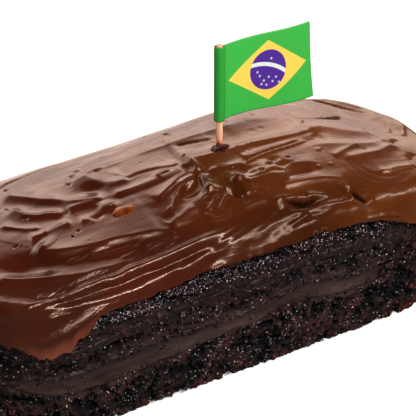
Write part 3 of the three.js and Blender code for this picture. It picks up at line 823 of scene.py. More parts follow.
# Clefts at the right front, where the icing gets painted shade: middle x and y, half length, half breadth,
# turn in degrees
shadedClefts = [(20.4, -30.4, 5.6, 0.6, -10), (38.4, -33.6, 3.0, 1.2, -58)]

# The ridge that the threads of the near left corner follow: distance round, height as above
ridgeLine = [(200, -28), (222, -19.5), (243, -9), (256, -4.6), (264, -0.7), (273, 0), (290, 1), (330, 2)]

# Spatula arcs at the right: middle x and y, radii, first and last angle and how they fade, height and reach
arcs = {"middle": (54, -22), "radii": (6.5, 9, 11.5, 14.5), "from": 150, "to": 330, "fadeIn": 50,
        "fadeOut": 60, "height": 0.09, "reach": 1.0}
# Bubbles and crumbs under the icing: x, y, radius, height, down where it is less than 0
spots = [
    (-48.5, 23.5, 0.8, -1.0), (-34.5, 9.8, 0.8, -0.8), (-34.6, 11.8, 0.5, 0.6), (-31, 14.6, 1.0, -0.7),
    (-28, 17.4, 1.1, 0.6), (-17, 21, 0.9, 0.5), (-16.3, 20.2, 0.5, -0.6), (-24.1, 11.7, 1.4, -0.8),
    (4.5, 19, 1.3, -1.0), (4.8, 17.4, 0.9, 0.3), (-12, 6.8, 0.4, -0.5), (-6, 17, 0.5, -0.5),
    (-44.5, -13.6, 0.6, -0.8), (-47.3, -15.3, 0.6, -0.6), (-54.5, 11.3, 0.7, -0.6), (-52.8, 2.3, 0.7, -0.7),
    (-52.5, -8.7, 0.6, 0.7), (-61.3, -7.5, 0.7, -0.6), (-34.5, 0.6, 0.6, -0.6), (-31.8, -8, 2.3, 1.3),
    (-17.4, -19, 0.7, 0.9), (27, 5.6, 0.9, -0.3), (30.6, 6.0, 1.0, -0.25), (33.4, 14.6, 0.7, -0.6),
    (23, 13.6, 0.6, -0.6), (15, -17.5, 0.8, -0.8), (-1, 0.2, 0.8, 0.5), (46, 5.8, 0.8, -0.5),
    (47.4, 7, 0.6, 0.4), (60, 10, 0.8, -0.4), (19.4, -14.6, 0.8, 0.7), (11.8, -13.4, 0.7, 0.6),
    (7.6, -15.8, 0.8, 0.8), (14.9, -17.6, 0.8, -0.9), (26.8, -14, 0.7, -0.6), (33.5, -20.5, 0.6, 0.5),
    (38, -20.4, 0.6, 0.4), (41.5, -33.4, 0.9, 0.4), (33.8, -33.5, 0.7, 0.5), (39, -12.6, 0.7, 0.4),
    (28.3, 11.4, 0.5, -0.4), (21.2, -18.6, 0.8, 0.5), (8.4, -12.8, 0.6, -0.7), (-57, -15, 0.8, 0.5),
    (54, -16, 0.5, -0.4), (40, -13, 0.5, -0.4), (-44.6, -20, 0.4, -0.4), (-19.9, -21.9, 1.7, -0.7),
    (49, 20, 0.5, -0.4), (64, -2, 0.5, 0.3), (1, 26, 0.6, -0.5), (17, 22, 0.5, -0.5),
]

# Crests of the strokes: powers of the slopes behind and in front (1 gives a knife edge, 2 a round one), the
# share of the length in which an end fades, what is left at the very end, and how many reaches count
crests = {"top": (1.12, 1.6), "side": (1.8, 2.0), "fading": 0.14, "left": 0.15, "reaches": 2.6}


def throughPoints(points, count):
    # smooth curve through the points: Catmull-Rom cubic between each pair, carried on straight at the ends
    p = np.array(points, float)
    p = np.concatenate([2 * p[:1] - p[1:2], p, 2 * p[-1:] - p[-2:-1]])
    u = np.linspace(0, len(points) - 1 - 1e-9, count)
    k = u.astype(int)
    t = (u - k)[:, None]
    a, b, c, d = p[k], p[k + 1], p[k + 2], p[k + 3]
    return 0.5 * (2 * b + (c - a) * t + (2 * a - 5 * b + 4 * c - d) * t ** 2
                  + (3 * b - a - 3 * c + d) * t ** 3)


def strokeHeight(u, v, stroke, sharpness):
    # the height times e to minus the distance from the curve over its reach, to that side's power; behind is
    # left of the curve's run, and both ends fade
    points, high0, high1, back, front0, front1 = stroke
    path = throughPoints(points, 8 * len(points))
    reach = crests["reaches"] * max(back, front0, front1)
    low, high = path.min(0) - reach, path.max(0) + reach
    near = (u > low[0]) & (u < high[0]) & (v > low[1]) & (v < high[1])
    total = np.zeros(u.shape)
    if not near.any():
        return total
    pu, pv = u[near], v[near]
    best = np.full(pu.shape, 1e9)
    along, side = np.zeros(pu.shape), np.ones(pu.shape)
    steps = path[1:] - path[:-1]
    for k, ((au, av), (du, dv)) in enumerate(zip(path[:-1], steps)):
        t = np.clip(((pu - au) * du + (pv - av) * dv) / (du * du + dv * dv), 0, 1)
        eu, ev = pu - au - t * du, pv - av - t * dv
        squared = eu * eu + ev * ev
        closer = squared < best
        best = np.where(closer, squared, best)
        along = np.where(closer, (k + t) / len(steps), along)
        side = np.where(closer, du * ev - dv * eu, side)
    reachHere = np.where(side > 0, back, front0 + (front1 - front0) * along)
    ends = ramp(along, 0, crests["fading"]) * (1 - ramp(along, 1 - crests["fading"], 1))
    fade = ends * (1 - crests["left"]) + crests["left"]
    power = np.where(side > 0, sharpness[0], sharpness[1])
    total[near] = (high0 + (high1 - high0) * along) * fade * np.exp(-(best ** 0.5 / reachHere) ** power)
    return total


def ovalBell(dx, dy, long, broad, turn):
    # bell over an oval turned by the given degrees
    across, along = turned(dy, dx, turn)
    return bell(along, long) * bell(across, broad)


def topRelief(x, y):
    # sum of the swells, strokes, spatula arcs and spots, all seen from above; a spot is a flat-topped bump or
    # pit, e to minus the fourth power of the distance over its radius, with a faint rim round it
    total = np.zeros(x.shape)
    for cx, cy, long, broad, turn, by in swells:
        total += by * ovalBell(x - cx, y - cy, long, broad, turn)
    for stroke in strokes:
        total += strokeHeight(x, y, stroke, crests["top"])
    cx, cy = arcs["middle"]
    away, angle = np.hypot(x - cx, y - cy), np.arctan2(y - cy, x - cx) / degrees % 360
    within = (ramp(angle, arcs["from"], arcs["from"] + arcs["fadeIn"])
              * (1 - ramp(angle, arcs["to"] - arcs["fadeOut"], arcs["to"])))
    total += arcs["height"] * within * sum(bell(away - r, arcs["reach"]) for r in arcs["radii"])
    for cx, cy, r, by in spots:
        away = np.hypot(x - cx, y - cy) / r
        total += (0.75 if by > 0 else 0.5) * by * np.exp(-away ** 4) + 0.1 * abs(by) * bell(away - 1.3, 0.35)
    return total


def waviness(p):
    # slow and fine unevenness of hand-spread icing
    slow = 0.22 * smoothNoise(p * (0.6, 1, 0.3), 9, 51)
    middle = 0.10 * smoothNoise(p * (0.5, 1, 0.5), 3.2, 52)
    torn = bell(np.hypot((p[..., 0] - 5) / 2.2, p[..., 1] + 18), 8)
    return slow + middle + 0.35 * torn * smoothNoise(p * (0.7, 1, 1), 1.7, 53)


def icingHeight(x, y):
    # the icing's top surface away from the rim, where loose pieces are set
    inward = np.full(np.shape(x), 12.0)
    p = np.stack([x, y, 0 * x], -1)
    return domeHeight(icingForm, x, y, inward) + topRelief(x, y) + waviness(p)


def icingEdge(s):
    # lower edge: full height less its dips, ragged where thin tongues run down the left end's near corner
    dips = sum(by * bell(around(s, at), reach) for at, reach, by in rimDips)
    drips = bell(around(s, 238), 28)
    ragged = (0.35 + 0.8 * drips) * noiseAlong(s, 2.1, 61) + 0.7 * drips * noiseAlong(s, 1.1, 62)
    return icingForm["edge"] - dips + ragged + 0.5 * noiseAlong(s, 7, 63)


def lipRings(outline, edge):
    # from inside the rim down to the lower edge, round the lip in an arc, and up the outer wall, which swells
    # in a bead just above the lip and draws in above the thin tongues
    s, gap, lip, overhang = outline["s"], icingForm["gap"], icingForm["lip"], icingForm["overhang"]
    thin = 1 - 0.35 * bell(around(s, 236), 24)
    bead = icingForm["bead"] * (0.5 + 0.5 * ramp(edge, 30, 38))
    thick = (overhang + bead) * thin - gap
    foot = edge + lip
    rings = [wallRing(outline, np.maximum(foot, cake["wallTop"]), gap), wallRing(outline, foot, gap)]
    for turn in np.linspace(-150, -15, 6) * degrees:
        rings.append(wallRing(outline, foot + lip * np.sin(turn), gap + thick / 2 * (1 + np.cos(turn))))
    for share in np.linspace(0.04, 1, 17):
        z = foot + (icingForm["wallTop"] - edge - lip) * share
        rise = z - edge
        outward = overhang - (1 - thin) * 2.0 * bell(rise, 6) + bead * bell(rise - lip, 1.8)
        rings.append(wallRing(outline, z, outward))
    return rings


def sideRelief(points, s, run, edge):
    # strokes and swells round the side, slanting wrinkles at the near left corner, an uneven lip elsewhere
    # and fine fibres at the right of the front, all fading out at the lower edge
    total = np.zeros(run.shape)
    for stroke in sideStrokes:
        total += strokeHeight(s, run, stroke, crests["side"])
    for at, up, long, broad, by in sideSwells:
        total += by * bell(around(s, at), long) * bell(run - up, broad)
    slant = np.stack([(s + 1.9 * run) / 9, (run - 0.52 * s) * 0.8, 0 * run], -1)
    corner = bell(around(s, 240), 40) * ramp(run, 9, 3)
    total += corner * (0.16 * smoothNoise(slant, 1.6, 71) + 0.10 * smoothNoise(slant, 0.6, 72))
    unevenLip = (1 - corner) * ramp(run, 3, 0)
    total += unevenLip * (0.3 * smoothNoise(points, 5, 73) + 0.16 * smoothNoise(points, 1.8, 74))
    fibres = np.stack([s / 4.5, run - 0.06 * s, 0 * run], -1)
    total += bell(around(s, 318), 34) * ramp(run, 5, 2) * 0.15 * smoothNoise(fibres, 0.7, 75)
    return total * ramp(points[..., 2] - edge, 0.0, 1.6)


def paintedShadeAndDullness(x, y, s, run):
    # painted shade with a duller shine: the front's rim right of the middle, the far part of the right end,
    # and most of all the clefts
    paintedShade = bell(around(s, 326), 40) * ramp(run, 12, 6)
    paintedShade = np.maximum(paintedShade, 0.45 * ramp(x, 45, 70) * ramp(y, -12, 4) * (run > 0))
    for cx, cy, long, broad, turn in shadedClefts:
        deep = np.clip(2.8 * ovalBell(x - cx, y - cy, long, broad, turn), 0, 1.6)
        paintedShade = np.maximum(paintedShade, deep * (run > 0))
    return paintedShade


def icingCap():
    # rings from the middle of the underside, out and round the lip, up the wall and over the top; the relief
    # moves each point outwards on the wall and upwards on top, and in between round the shoulder
    outline = loafOutline(icingForm["columns"])
    outline["spineY"] = icingForm["spineShift"]
    s = outline["s"]
    edge = icingEdge(s)
    under = lambda px, py, inward: spongeTop(px, py, inward) + icingForm["gap"]
    over = lambda px, py, inward: domeHeight(icingForm, px, py, inward)
    rings = [capRing(outline, share, 0, under) for share in (0.03, 0.5, 0.9, 0.98)]
    body = slice(len(rings) + 5, None)  # from the lip's lowest point on
    rings += lipRings(outline, edge)
    cap = slice(len(rings), None)
    shoulder = 1 - np.geomspace(0.005, 0.035, 5)
    shares = np.concatenate([shoulder, np.linspace(0.955, 0.02, icingForm["topRows"] - len(shoulder))])
    rings += [capRing(outline, share, icingForm["overhang"], over) for share in shares]
    points = np.array(rings)

    inward = np.zeros(points.shape[:2])
    reach = np.hypot(outline["x"] - outline["spine"], outline["y"] - outline["spineY"])
    inward[cap] = (reach + icingForm["overhang"]) * (1 - shares[:, None])
    run = np.where(inward > 0, inward, points[..., 2] - icingForm["wallTop"])  # less than 0 on the wall
    sides = np.broadcast_to(s, run.shape)
    lift = np.zeros(run.shape)
    lift[cap] = (ramp(inward[cap], 0.3, 3.2)
                 * (topRelief(points[cap, :, 0], points[cap, :, 1]) + waviness(points[cap])))
    lift[body] += sideRelief(points[body], sides[body], run[body], edge)
    lean = ramp(run, -1.5, 5.5) * 90 * degrees
    points[..., 0] += lift * np.cos(lean) * outline["outX"]
    points[..., 1] += lift * np.cos(lean) * outline["outY"]
    points[..., 2] += lift * np.sin(lean)
    piece = makeMesh("icingCap", points, ringFaces(len(rings), icingForm["columns"]), icing)
    addNumbers(piece, "thin", ramp(points[..., 2] - edge, 6, 0.5) * bell(around(s, 251), 9))
    addNumbers(piece, "wrinkled", bell(around(sides, 250), 50) * ramp(run, 12, 5))
    # painted shade and a duller shine, read by the icing's material
    addNumbers(piece, "shadeAndDull", paintedShadeAndDullness(points[..., 0], points[..., 1], sides, run))
    addNumbers(piece, "along", sides)
    addNumbers(piece, "rising", run - np.interp(s, *zip(*ridgeLine)))
    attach(piece, "root")
    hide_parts("icing")


icing = icingMaterial()
icingCap()
print("icing made")


# Flag and cocktail stick

stick = {
    "foot": (9.7, -2.7, 53.34), "leanBack": 3.8, "leanRight": 2.5, "radius": 1.0, "above": 35.1, "below": 24.0,
    "tip": 5.0, "stain": 4.6,
    "bare": [(0.3, (186, 128, 90)), (0.7, (222, 178, 144))],
    "soaked": [(0.3, (58, 8, 3)), (0.7, (112, 26, 8))],
    "tint": (206, 112, 62), "dryRoughness": 0.6, "wetRoughness": 0.35,
}
flagForm = {
    "fly": 34.6, "hoist": 24.0, "ply": 0.5, "sleeveWall": 0.35, "clear": 0.3, "sway": 0.9, "turn": 1.5,
    "climb": 0.032, "topShort": 0.065, "bend": 0.35,
    "columns": 120, "rows": 60,
    # printed forms: middle along the fly and up the hoist, then half lengths, or radius and half width
    "rhombus": (17.9, 12.1, 14.6, 9.55), "disc": (17.9, 12.2, 6.35), "band": (13.6, -1.7, 16.2, 0.62),
    "dots": [(15.0, 10.6), (16.4, 8.9), (18.1, 9.8), (19.4, 8.2), (17.3, 7.4), (20.6, 9.4), (14.2, 12.0),
             (19.0, 15.6), (21.6, 7.6), (15.6, 7.9)],
    "dotRadius": 0.34, "dotSoft": 0.12,
    "green": (50, 176, 62), "sleeveGreen": (36, 154, 46), "yellow": (240, 204, 78), "blue": (74, 24, 146),
    "pale": (222, 226, 214), "roughness": 0.55, "letsThrough": 0.35,
}


def stickFrame(points):
    # leans the points to the right about Y, then back about X, and stands them on the stick's foot
    z, x = turned(points[..., 2], points[..., 0], stick["leanRight"])
    z, y = turned(z, points[..., 1], stick["leanBack"])
    return np.stack([x, y, z], -1) + stick["foot"]


def pickPiece():
    # radius along the stick: pointed foot, shaft, and a slightly softened top edge
    sides = 40
    turn = np.linspace(0, 2 * math.pi, sides, endpoint=False)
    z = np.concatenate([[0], np.linspace(0.02, 1, 12) * stick["tip"]]) - stick["below"]
    z = np.concatenate([z, np.linspace(z[-1] + 0.5, stick["above"] - 0.15, 110), [stick["above"]] * 2])
    r = stick["radius"] * np.clip((z + stick["below"]) / stick["tip"], 0, 1)
    r[0], r[-2], r[-1] = 1e-3, stick["radius"] - 0.15, 1e-3
    rings = np.stack([r[:, None] * np.cos(turn), r[:, None] * np.sin(turn), z[:, None] + 0 * turn], -1)
    grain = 0.03 * smoothNoise(rings * (3, 3, 0.2), 1.0, 81) * (r[:, None] > 0.5)
    rings[..., 0] += grain * np.cos(turn)
    rings[..., 1] += grain * np.sin(turn)
    fan = fanFaces(sides)
    ends = np.concatenate([fan, fan[:, [0, 2, 1]] + (len(rings) - 1) * sides])
    piece = makeMesh("cocktailStick", stickFrame(rings), [tubeFaces(len(rings), sides), ends], woodMaterial())
    above = np.broadcast_to(z[:, None], rings.shape[:2])
    soak = stick["stain"] + 0.8 * smoothNoise(rings * (1, 1, 0.01), 0.7, 82)
    addNumbers(piece, "stained", ramp(above, soak + 0.9, soak - 0.7))
    addNumbers(piece, "tinted", 0.6 * ramp(above, soak + 3.4, soak))
    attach(piece, "root")
    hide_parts("pick")


def woodMaterial():
    # pale birch with fine long grain, soaked dark red brown at the foot
    material, tree, shader = newMaterial("birchStick")
    grain = noiseNode(tree, 2600, 3, 0.6, (1, 1, 0.05))
    bare, soaked = (colourRamp(tree, grain, stick[kind]) for kind in ("bare", "soaked"))
    stained, tinted = attributeNodes(tree, "stained", "tinted")
    setInputs(tree, shader, {
        "Base Color": mixNode(tree, stained, mixNode(tree, tinted, bare, stick["tint"]), soaked),
        "Roughness": rangeNode(tree, stained, 0.0, 1.0, stick["dryRoughness"], stick["wetRoughness"]),
    })
    return material


def edgeMask(tree, value, limit, soft):
    # 1 where the value is under the limit, 0 above it, over a short change
    return rangeNode(tree, value, limit - soft, limit + soft, 1.0, 0.0)


def distanceNode(tree, u, v, centre):
    # straight distance from a place on the flag, in millimetres
    du = mathNode(tree, "SUBTRACT", u, centre[0])
    dv = mathNode(tree, "SUBTRACT", v, centre[1])
    squares = mathNode(tree, "ADD", mathNode(tree, "MULTIPLY", du, du), mathNode(tree, "MULTIPLY", dv, dv))
    return mathNode(tree, "SQRT", squares)


def paperMaterial():
    # printed paper: yellow rhombus on green, blue-violet disc with a pale curved band and small pale dots
    material, tree, shader = newMaterial("printedPaper")
    u, v, wrap = attributeNodes(tree, "alongFly", "upHoist", "wrapped")
    cu, cv, halfLong, halfHigh = flagForm["rhombus"]
    du = mathNode(tree, "DIVIDE", mathNode(tree, "ABSOLUTE", mathNode(tree, "SUBTRACT", u, cu)), halfLong)
    dv = mathNode(tree, "DIVIDE", mathNode(tree, "ABSOLUTE", mathNode(tree, "SUBTRACT", v, cv)), halfHigh)
    rhombus = edgeMask(tree, mathNode(tree, "ADD", du, dv), 1.0, 0.008)
    disc = edgeMask(tree, distanceNode(tree, u, v, flagForm["disc"]), flagForm["disc"][2], 0.06)
    ring = mathNode(tree, "SUBTRACT", distanceNode(tree, u, v, flagForm["band"]), flagForm["band"][2])
    band = edgeMask(tree, mathNode(tree, "ABSOLUTE", ring), flagForm["band"][3], 0.08)
    radius, soft = flagForm["dotRadius"], flagForm["dotSoft"]
    dots, *others = [edgeMask(tree, distanceNode(tree, u, v, dot), radius, soft) for dot in flagForm["dots"]]
    for dot in others:
        dots = mathNode(tree, "MAXIMUM", dots, dot)
    pale = mathNode(tree, "MAXIMUM", band, mathNode(tree, "MULTIPLY", dots, 0.8))
    colour = mixNode(tree, wrap, flagForm["green"], flagForm["sleeveGreen"])
    onDisc = mathNode(tree, "MULTIPLY", disc, pale)
    for mask, paint in ((rhombus, "yellow"), (disc, "blue"), (onDisc, "pale")):
        colour = mixNode(tree, mask, colour, flagForm[paint])
    setInputs(tree, shader, {
        "Base Color": colour,
        "Roughness": flagForm["roughness"],
        "Normal": bumpNode(tree, noiseNode(tree, 1800, 3, 0.6), 0.15, 0.0002),
    })
    glow = addNode(tree, "ShaderNodeBsdfTranslucent", {"Color": colour})
    shared = {0: flagForm["letsThrough"], 1: shader.outputs[0], 2: glow.outputs[0]}
    mixed = addNode(tree, "ShaderNodeMixShader", shared)
    tree.links.new(mixed.outputs[0], tree.nodes["Material Output"].inputs["Surface"])
    return material


def flagPiece():
    # one section seen from above, swept up the stick: round the sleeve, out along one ply and back along
    # the other; an inner copy of it gives the paper its thickness
    bore = stick["radius"] + flagForm["clear"]
    outer, half, length = bore + flagForm["sleeveWall"], flagForm["ply"] / 2, flagForm["fly"]
    mouth = math.asin(half / outer)
    start = outer * math.cos(mouth)
    turn = np.linspace(mouth, 2 * math.pi - mouth, 48)
    x = np.linspace(start, length, flagForm["columns"] + 1)[1:]
    sway = flagForm["sway"] * np.sin(2 * math.pi * (x - start) / length)
    sections = []
    for radius, shrunk, apart in ((outer, 1, half), (bore, 0.996, 0.02)):
        sections.append(np.concatenate([
            np.stack([radius * np.cos(turn), radius * np.sin(turn)], -1),
            np.stack([x * shrunk, sway - apart], -1),
            np.stack([x * shrunk, sway + apart], -1)[::-1],
        ]))
    fly = np.concatenate([0 * turn, x, x[::-1]])
    fades = ramp(x, start + 0.7, start + 0.2)
    wrapped = np.concatenate([1 + 0 * turn, fades, fades[::-1]])
    z = np.linspace(stick["above"] - flagForm["hoist"], stick["above"], flagForm["rows"])
    bend = flagForm["bend"] * np.sin(1.3 * math.pi * (z - z[0]) / flagForm["hoist"])[:, None]
    bend = bend * (fly / length) ** 2
    outside, inside = (np.stack([part[:, 0] + 0 * z[:, None], part[:, 1] + bend, z[:, None] + 0 * fly], -1)
                       for part in sections)
    rings = np.concatenate([outside, inside[::-1]])
    upHoist = rings[..., 2] - z[0]
    middle = stick["above"] - flagForm["hoist"] / 2
    px, py, pz = rings[..., 0], rings[..., 1], rings[..., 2]
    pz = middle + (pz - middle) * (0.955 + 0.055 * ramp(px, 0, 34)) + flagForm["climb"] * px
    px = px * (1 - flagForm["topShort"] * (pz - z[0]).clip(0) / flagForm["hoist"] * ramp(px, 6, 34))
    px, py = turned(px, py, flagForm["turn"])
    rows, count = rings.shape[:2]
    last = (rows - 1) * count
    i = np.arange(count)
    closing = np.stack([last + i, last + (i + 1) % count, (i + 1) % count, i], -1)
    piece = makeMesh("paperFlag", stickFrame(np.stack([px, py, pz], -1)), [tubeFaces(rows, count), closing],
                     paperMaterial())
    addNumbers(piece, "alongFly", np.broadcast_to(fly, (rows, count)))
    addNumbers(piece, "upHoist", upHoist)
    addNumbers(piece, "wrapped", np.broadcast_to(wrapped, (rows, count)))
    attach(piece, "root")
    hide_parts("flag")


pickPiece()
flagPiece()
print("flag and stick made")


# Small wet things on the icing

def ballRings(columns, rows):
    # unit ball as rings from just above its lowest point to just below its highest
    turn = np.linspace(0, 2 * math.pi, columns, endpoint=False)
    tilt = np.linspace(-90, 90, rows + 1) * degrees
    tilt[0], tilt[-1] = tilt[0] + 0.002, tilt[-1] - 0.002
    return np.stack([np.cos(tilt)[:, None] * np.cos(turn), np.cos(tilt)[:, None] * np.sin(turn),
                     np.sin(tilt)[:, None] + 0 * turn], -1)


def blobs(name, places, material, columns=36, rows=22):
    # flattened balls, a little uneven, set into the icing
    ball, fan = ballRings(columns, rows), fanFaces(columns)
    points, quads, triangles = [], [], []
    for n, (x, y, long, broad, high, turn, sunk) in enumerate(places):
        c, s = math.cos(turn * degrees), math.sin(turn * degrees)
        shape = ball * (long, broad, high) * (1 + 0.10 * smoothNoise(ball + 7 * n, 0.9, 91)[..., None])
        px = x + c * shape[..., 0] - s * shape[..., 1]
        py = y + s * shape[..., 0] + c * shape[..., 1]
        points.append(np.stack([px, py, icingHeight(px, py) + shape[..., 2] - sunk * high], -1))
        base = n * (rows + 1) * columns
        quads.append(tubeFaces(rows + 1, columns) + base)
        triangles += [fan + base, fan[:, ::-1] + rows * columns + base]
    piece = makeMesh(name, np.array(points), [np.concatenate(quads), np.concatenate(triangles)], material)
    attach(piece, "root")


def syrupMaterial(name, deep, light, roughness, shine):
    # glossy thin syrup, uneven in depth
    material, tree, shader = newMaterial(name)
    setInputs(tree, shader, {
        "Base Color": colourRamp(tree, noiseNode(tree, 300, 2, 0.5), [(0.35, deep), (0.7, light)]),
        "Roughness": roughness,
        "Specular IOR Level": shine,
    })
    return material


# Places on the icing: x, y, half length, half breadth, half height, turn in degrees, share sunk in
drops = {
    "amber": [(-29.8, -12.9, 3.7, 2.5, 1.2, 4, 0.2), (-0.8, 0.5, 0.9, 0.6, 0.5, 20, 0.2)],
    "flecks": [
        (-31.4, -8.6, 1.0, 0.8, 0.5, 0, 0.1), (22.9, -12.8, 2.0, 0.8, 0.3, 5, 0.4),
        (27.1, 5.7, 1.0, 0.5, 0.2, 0, 0.4), (12.7, -30.9, 1.7, 0.9, 0.4, 20, 0.3),
        (55, -28.3, 0.8, 0.3, 0.3, -10, 0.3), (57.6, -27.9, 0.6, 0.3, 0.3, 20, 0.3),
        (63.4, -29.3, 0.9, 0.5, 0.3, 0, 0.4), (39.4, -12.9, 0.8, 0.4, 0.25, 0, 0.4),
        (8.2, -24.2, 0.5, 0.3, 0.25, 30, 0.4),
    ],
    "clumps": [
        (7.6, -4.2, 1.0, 0.9, 1.3, 30, 0.1), (9.4, -5.0, 0.8, 0.7, 1.1, 0, 0.1),
        (12.4, -2.4, 1.2, 0.8, 1.1, 10, 0.0), (13.2, -1.0, 0.7, 0.6, 0.8, 20, 0.1),
    ],
    "ringOf": 9, "ringX": 1.8, "ringY": 1.6, "ringBead": (0.95, 0.85, 1.3),  # beads round the stick's foot
}


def ringPlaces():
    # beads on an oval round the stick's foot, each turned along it
    footX, footY = stick["foot"][:2]
    return [(footX + drops["ringX"] * math.cos(a), footY + drops["ringY"] * math.sin(a), *drops["ringBead"],
             a / degrees + 90, -0.2) for a in np.linspace(0, 2 * math.pi, drops["ringOf"], endpoint=False)]


amber = syrupMaterial("amberSyrup", (66, 20, 2), (122, 52, 10), 0.1, 0.12)
caramel = syrupMaterial("caramelFleck", (62, 38, 14), (104, 70, 36), 0.3, 0.25)
darkSyrup = syrupMaterial("darkSyrup", (26, 5, 4), (70, 16, 10), 0.06, 0.3)
blobs("amberDrops", drops["amber"], amber)
blobs("caramelFlecks", drops["flecks"], caramel, 24, 14)
blobs("syrupRing", ringPlaces() + drops["clumps"], darkSyrup, 24, 16)
print("drops made")


# Loose crumbs clinging to the sponge

crumbs = {
    "count": 1500, "small": 0.28, "large": 0.85, "seed": 5,
    "bySeams": 0.5, "byFoot": 0.1,  # shares that lie along the fillings' edges and along the foot
    # the last is the share of painted glints, pale specks in the loose crumbs' colour
    "tone": (30, 20, 19), "paintedWetGlints": 0.25,
}


def crumbTemplate():
    # an eight-sided solid with each face split in four, its new corners pushed out to the unit ball
    corners = np.array([[1, 0, 0], [-1, 0, 0], [0, 1, 0], [0, -1, 0], [0, 0, 1], [0, 0, -1]], float)
    eight = [(0, 2, 4), (2, 1, 4), (1, 3, 4), (3, 0, 4), (2, 0, 5), (1, 2, 5), (3, 1, 5), (0, 3, 5)]
    points, middles, faces = list(corners), {}, []
    for a, b, c in eight:
        for edge in ((a, b), (b, c), (c, a)):
            if frozenset(edge) not in middles:
                middles[frozenset(edge)] = len(points)
                middle = corners[edge[0]] + corners[edge[1]]
                points.append(middle / np.linalg.norm(middle))
        ab, bc, ca = (middles[frozenset(edge)] for edge in ((a, b), (b, c), (c, a)))
        faces += [(a, ab, ca), (ab, b, bc), (ca, bc, c), (ab, bc, ca)]
    return np.array(points), np.array(faces)


def looseCrumbs():
    # copies of the template at random places on the wall, squashed, turned and jittered at random
    rng = np.random.default_rng(crumbs["seed"])
    template, faces = crumbTemplate()
    count, corners = crumbs["count"], len(template)
    s = rng.uniform(0, girth, count)
    outline = loafOutline(4000)
    at = (s / girth * 4000).astype(int) % 4000
    kind = rng.random(count)
    x, outX, outY, y = (outline[key][at] for key in ("x", "outX", "outY", "y"))
    seams = np.stack([fillingFace(filling, x, side) for filling in (lowerFilling, upperFilling)
                      for side in (-1, 1)], -1)
    whichSeam = rng.integers(0, 4, count)
    bySeam = seams[np.arange(count), whichSeam] + rng.normal(0, 0.5, count)
    byFoot = rng.uniform(0.3, 1.6, count)
    anywhere = rng.uniform(1, 37, count)
    z = np.where(kind < crumbs["bySeams"] + crumbs["byFoot"], byFoot, anywhere)
    z = np.where(kind < crumbs["bySeams"], bySeam, z)
    z = np.minimum(z, icingEdge(s) - 0.8)
    size = crumbs["small"] + (crumbs["large"] - crumbs["small"]) * rng.random(count) ** 3
    axes = np.linalg.qr(rng.normal(size=(count, 3, 3)))[0]
    shape = template[None] * (1 + 0.28 * rng.normal(size=(count, corners, 1))).clip(0.5, 1.6)
    shape = shape * rng.uniform(0.6, 1.2, (count, 1, 3)) * size[:, None, None]
    shape = np.einsum("nij,nvj->nvi", axes, shape)
    out = wallOffset(z) + 0.15
    centre = np.stack([x + outX * out, y + outY * out, np.maximum(z, size)], -1)
    points = shape + centre[:, None, :]
    points[..., 2] = np.maximum(points[..., 2], 0.02)
    triangles = (faces[None] + (np.arange(count) * corners)[:, None, None]).reshape(-1, 3)
    material = crumbMaterial("looseCrumb", crumbs["tone"])
    piece = makeMesh("looseCrumbs", points, [triangles], material, smooth=False)
    addNumbers(piece, "lift", np.repeat(0.1 + 0.12 * rng.normal(size=count), corners))
    addNumbers(piece, "baked", np.repeat(brownedEnd(s, z), corners))
    # the share of painted glints, pale specks in the loose crumbs' colour
    addNumbers(piece, "paintedWetGlints", np.full(count * corners, crumbs["paintedWetGlints"]))
    addNumbers(piece, "smeared", np.zeros(count * corners))
    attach(piece, "root")


looseCrumbs()
print("crumbs made")


# Camera: the photograph's view, from the left of the front and above

view = {
    "azimuth": -33.0, "elevation": 30.0, "distance": 550.0, "pixelsPerMm": 3.25, "pixels": 416,
    "target": (9.0, 0.0, 21.67), "aim": (212.3, 245.2), "sensor": 36,
}


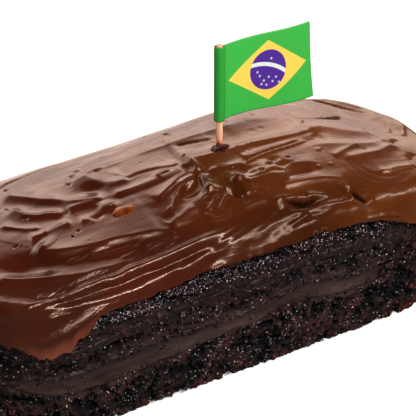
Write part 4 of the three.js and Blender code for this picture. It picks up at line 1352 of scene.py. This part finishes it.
def addCamera():
    # the camera keeps its place and turns about it until the aim point lands on its pixel
    a, e = view["azimuth"] * degrees, view["elevation"] * degrees
    back = Vector((math.sin(a) * math.cos(e), -math.cos(a) * math.cos(e), math.sin(e)))
    right = Vector((math.cos(a), math.sin(a), 0))
    up = back.cross(right)
    eye = Vector(view["target"]) + back * view["distance"]
    focal, middle = view["pixelsPerMm"] * view["distance"], view["pixels"] / 2
    tilt, pan = math.atan((view["aim"][1] - middle) / focal), math.atan((view["aim"][0] - middle) / focal)
    tilted, up = back * math.cos(tilt) - up * math.sin(tilt), up * math.cos(tilt) + back * math.sin(tilt)
    back, right = (tilted * math.cos(pan) + right * math.sin(pan),
                   right * math.cos(pan) - tilted * math.sin(pan))
    data = bpy.data.cameras.new("photoCamera")
    data.sensor_width = view["sensor"]
    data.lens = focal * view["sensor"] / view["pixels"]
    data.clip_start = 0.01
    data.clip_end = 10
    camera = bpy.data.objects.new("photoCamera", data)
    camera.location = eye * mm
    camera.rotation_euler = Matrix((right, up, back)).transposed().to_euler()
    bpy.context.scene.collection.objects.link(camera)
    bpy.context.scene.camera = camera


addCamera()


studio = {
    "floorHalf": 900, "floorGrey": 0.9, "floorRoughness": 0.8, "worldStrength": 0.14,
    "aim": (0, 0, 40),
    # panels of light: place, width and height, power, colour; three pale bands behind the cake, which its
    # glossy top mirrors, and one long narrow strip in front, which draws the bright lines along the ridges
    "panels": {
        "backdrop": ((80, 715, 335), (1600, 350), 6.9, (1, 0.74, 0.62)),
        "highBackdrop": ((80, 605, 610), (1600, 300), 2.5, (1, 0.73, 0.61)),
        "lowBackdrop": ((80, 775, -90), (1600, 460), 3.5, (1, 0.74, 0.63)),
        "frontStrip": ((110, -470, 520), (1050, 34), 9.6, (1, 1, 1)),
    },
}


def addFloor():
    # plain pale square, far wider than the view
    material, tree, shader = newMaterial("studioFloor")
    grey, half = studio["floorGrey"], studio["floorHalf"]
    setInputs(tree, shader, {"Base Color": (grey, grey, grey, 1), "Roughness": studio["floorRoughness"]})
    corners = half * np.array([[-1, -1, 0], [1, -1, 0], [1, 1, 0], [-1, 1, 0]], float)
    floor = makeMesh("studioFloor", corners, [np.array([[0, 1, 2, 3]])], material, smooth=False)
    floor.visible_glossy = False  # the icing's walls don't mirror it


addFloor()


def addPanel(name, place, size, power, colour):
    # rectangle of light facing the cake
    data = bpy.data.lights.new(name, "AREA")
    data.shape = "RECTANGLE"
    data.size, data.size_y = size[0] * mm, size[1] * mm
    data.energy = power
    data.color = colour
    panel = bpy.data.objects.new(name, data)
    panel.location = Vector(place) * mm
    panel.rotation_euler = (Vector(place) - Vector(studio["aim"])).to_track_quat("Z", "Y").to_euler()
    bpy.context.scene.collection.objects.link(panel)


for name, panel in studio["panels"].items():
    addPanel(name, *panel)

scene = bpy.context.scene
scene.view_settings.view_transform = "Standard"
world = bpy.data.worlds.new("studio")
world.use_nodes = True
world.node_tree.nodes["Background"].inputs["Color"].default_value = (1, 1, 1, 1)
world.node_tree.nodes["Background"].inputs["Strength"].default_value = studio["worldStrength"]
scene.world = world
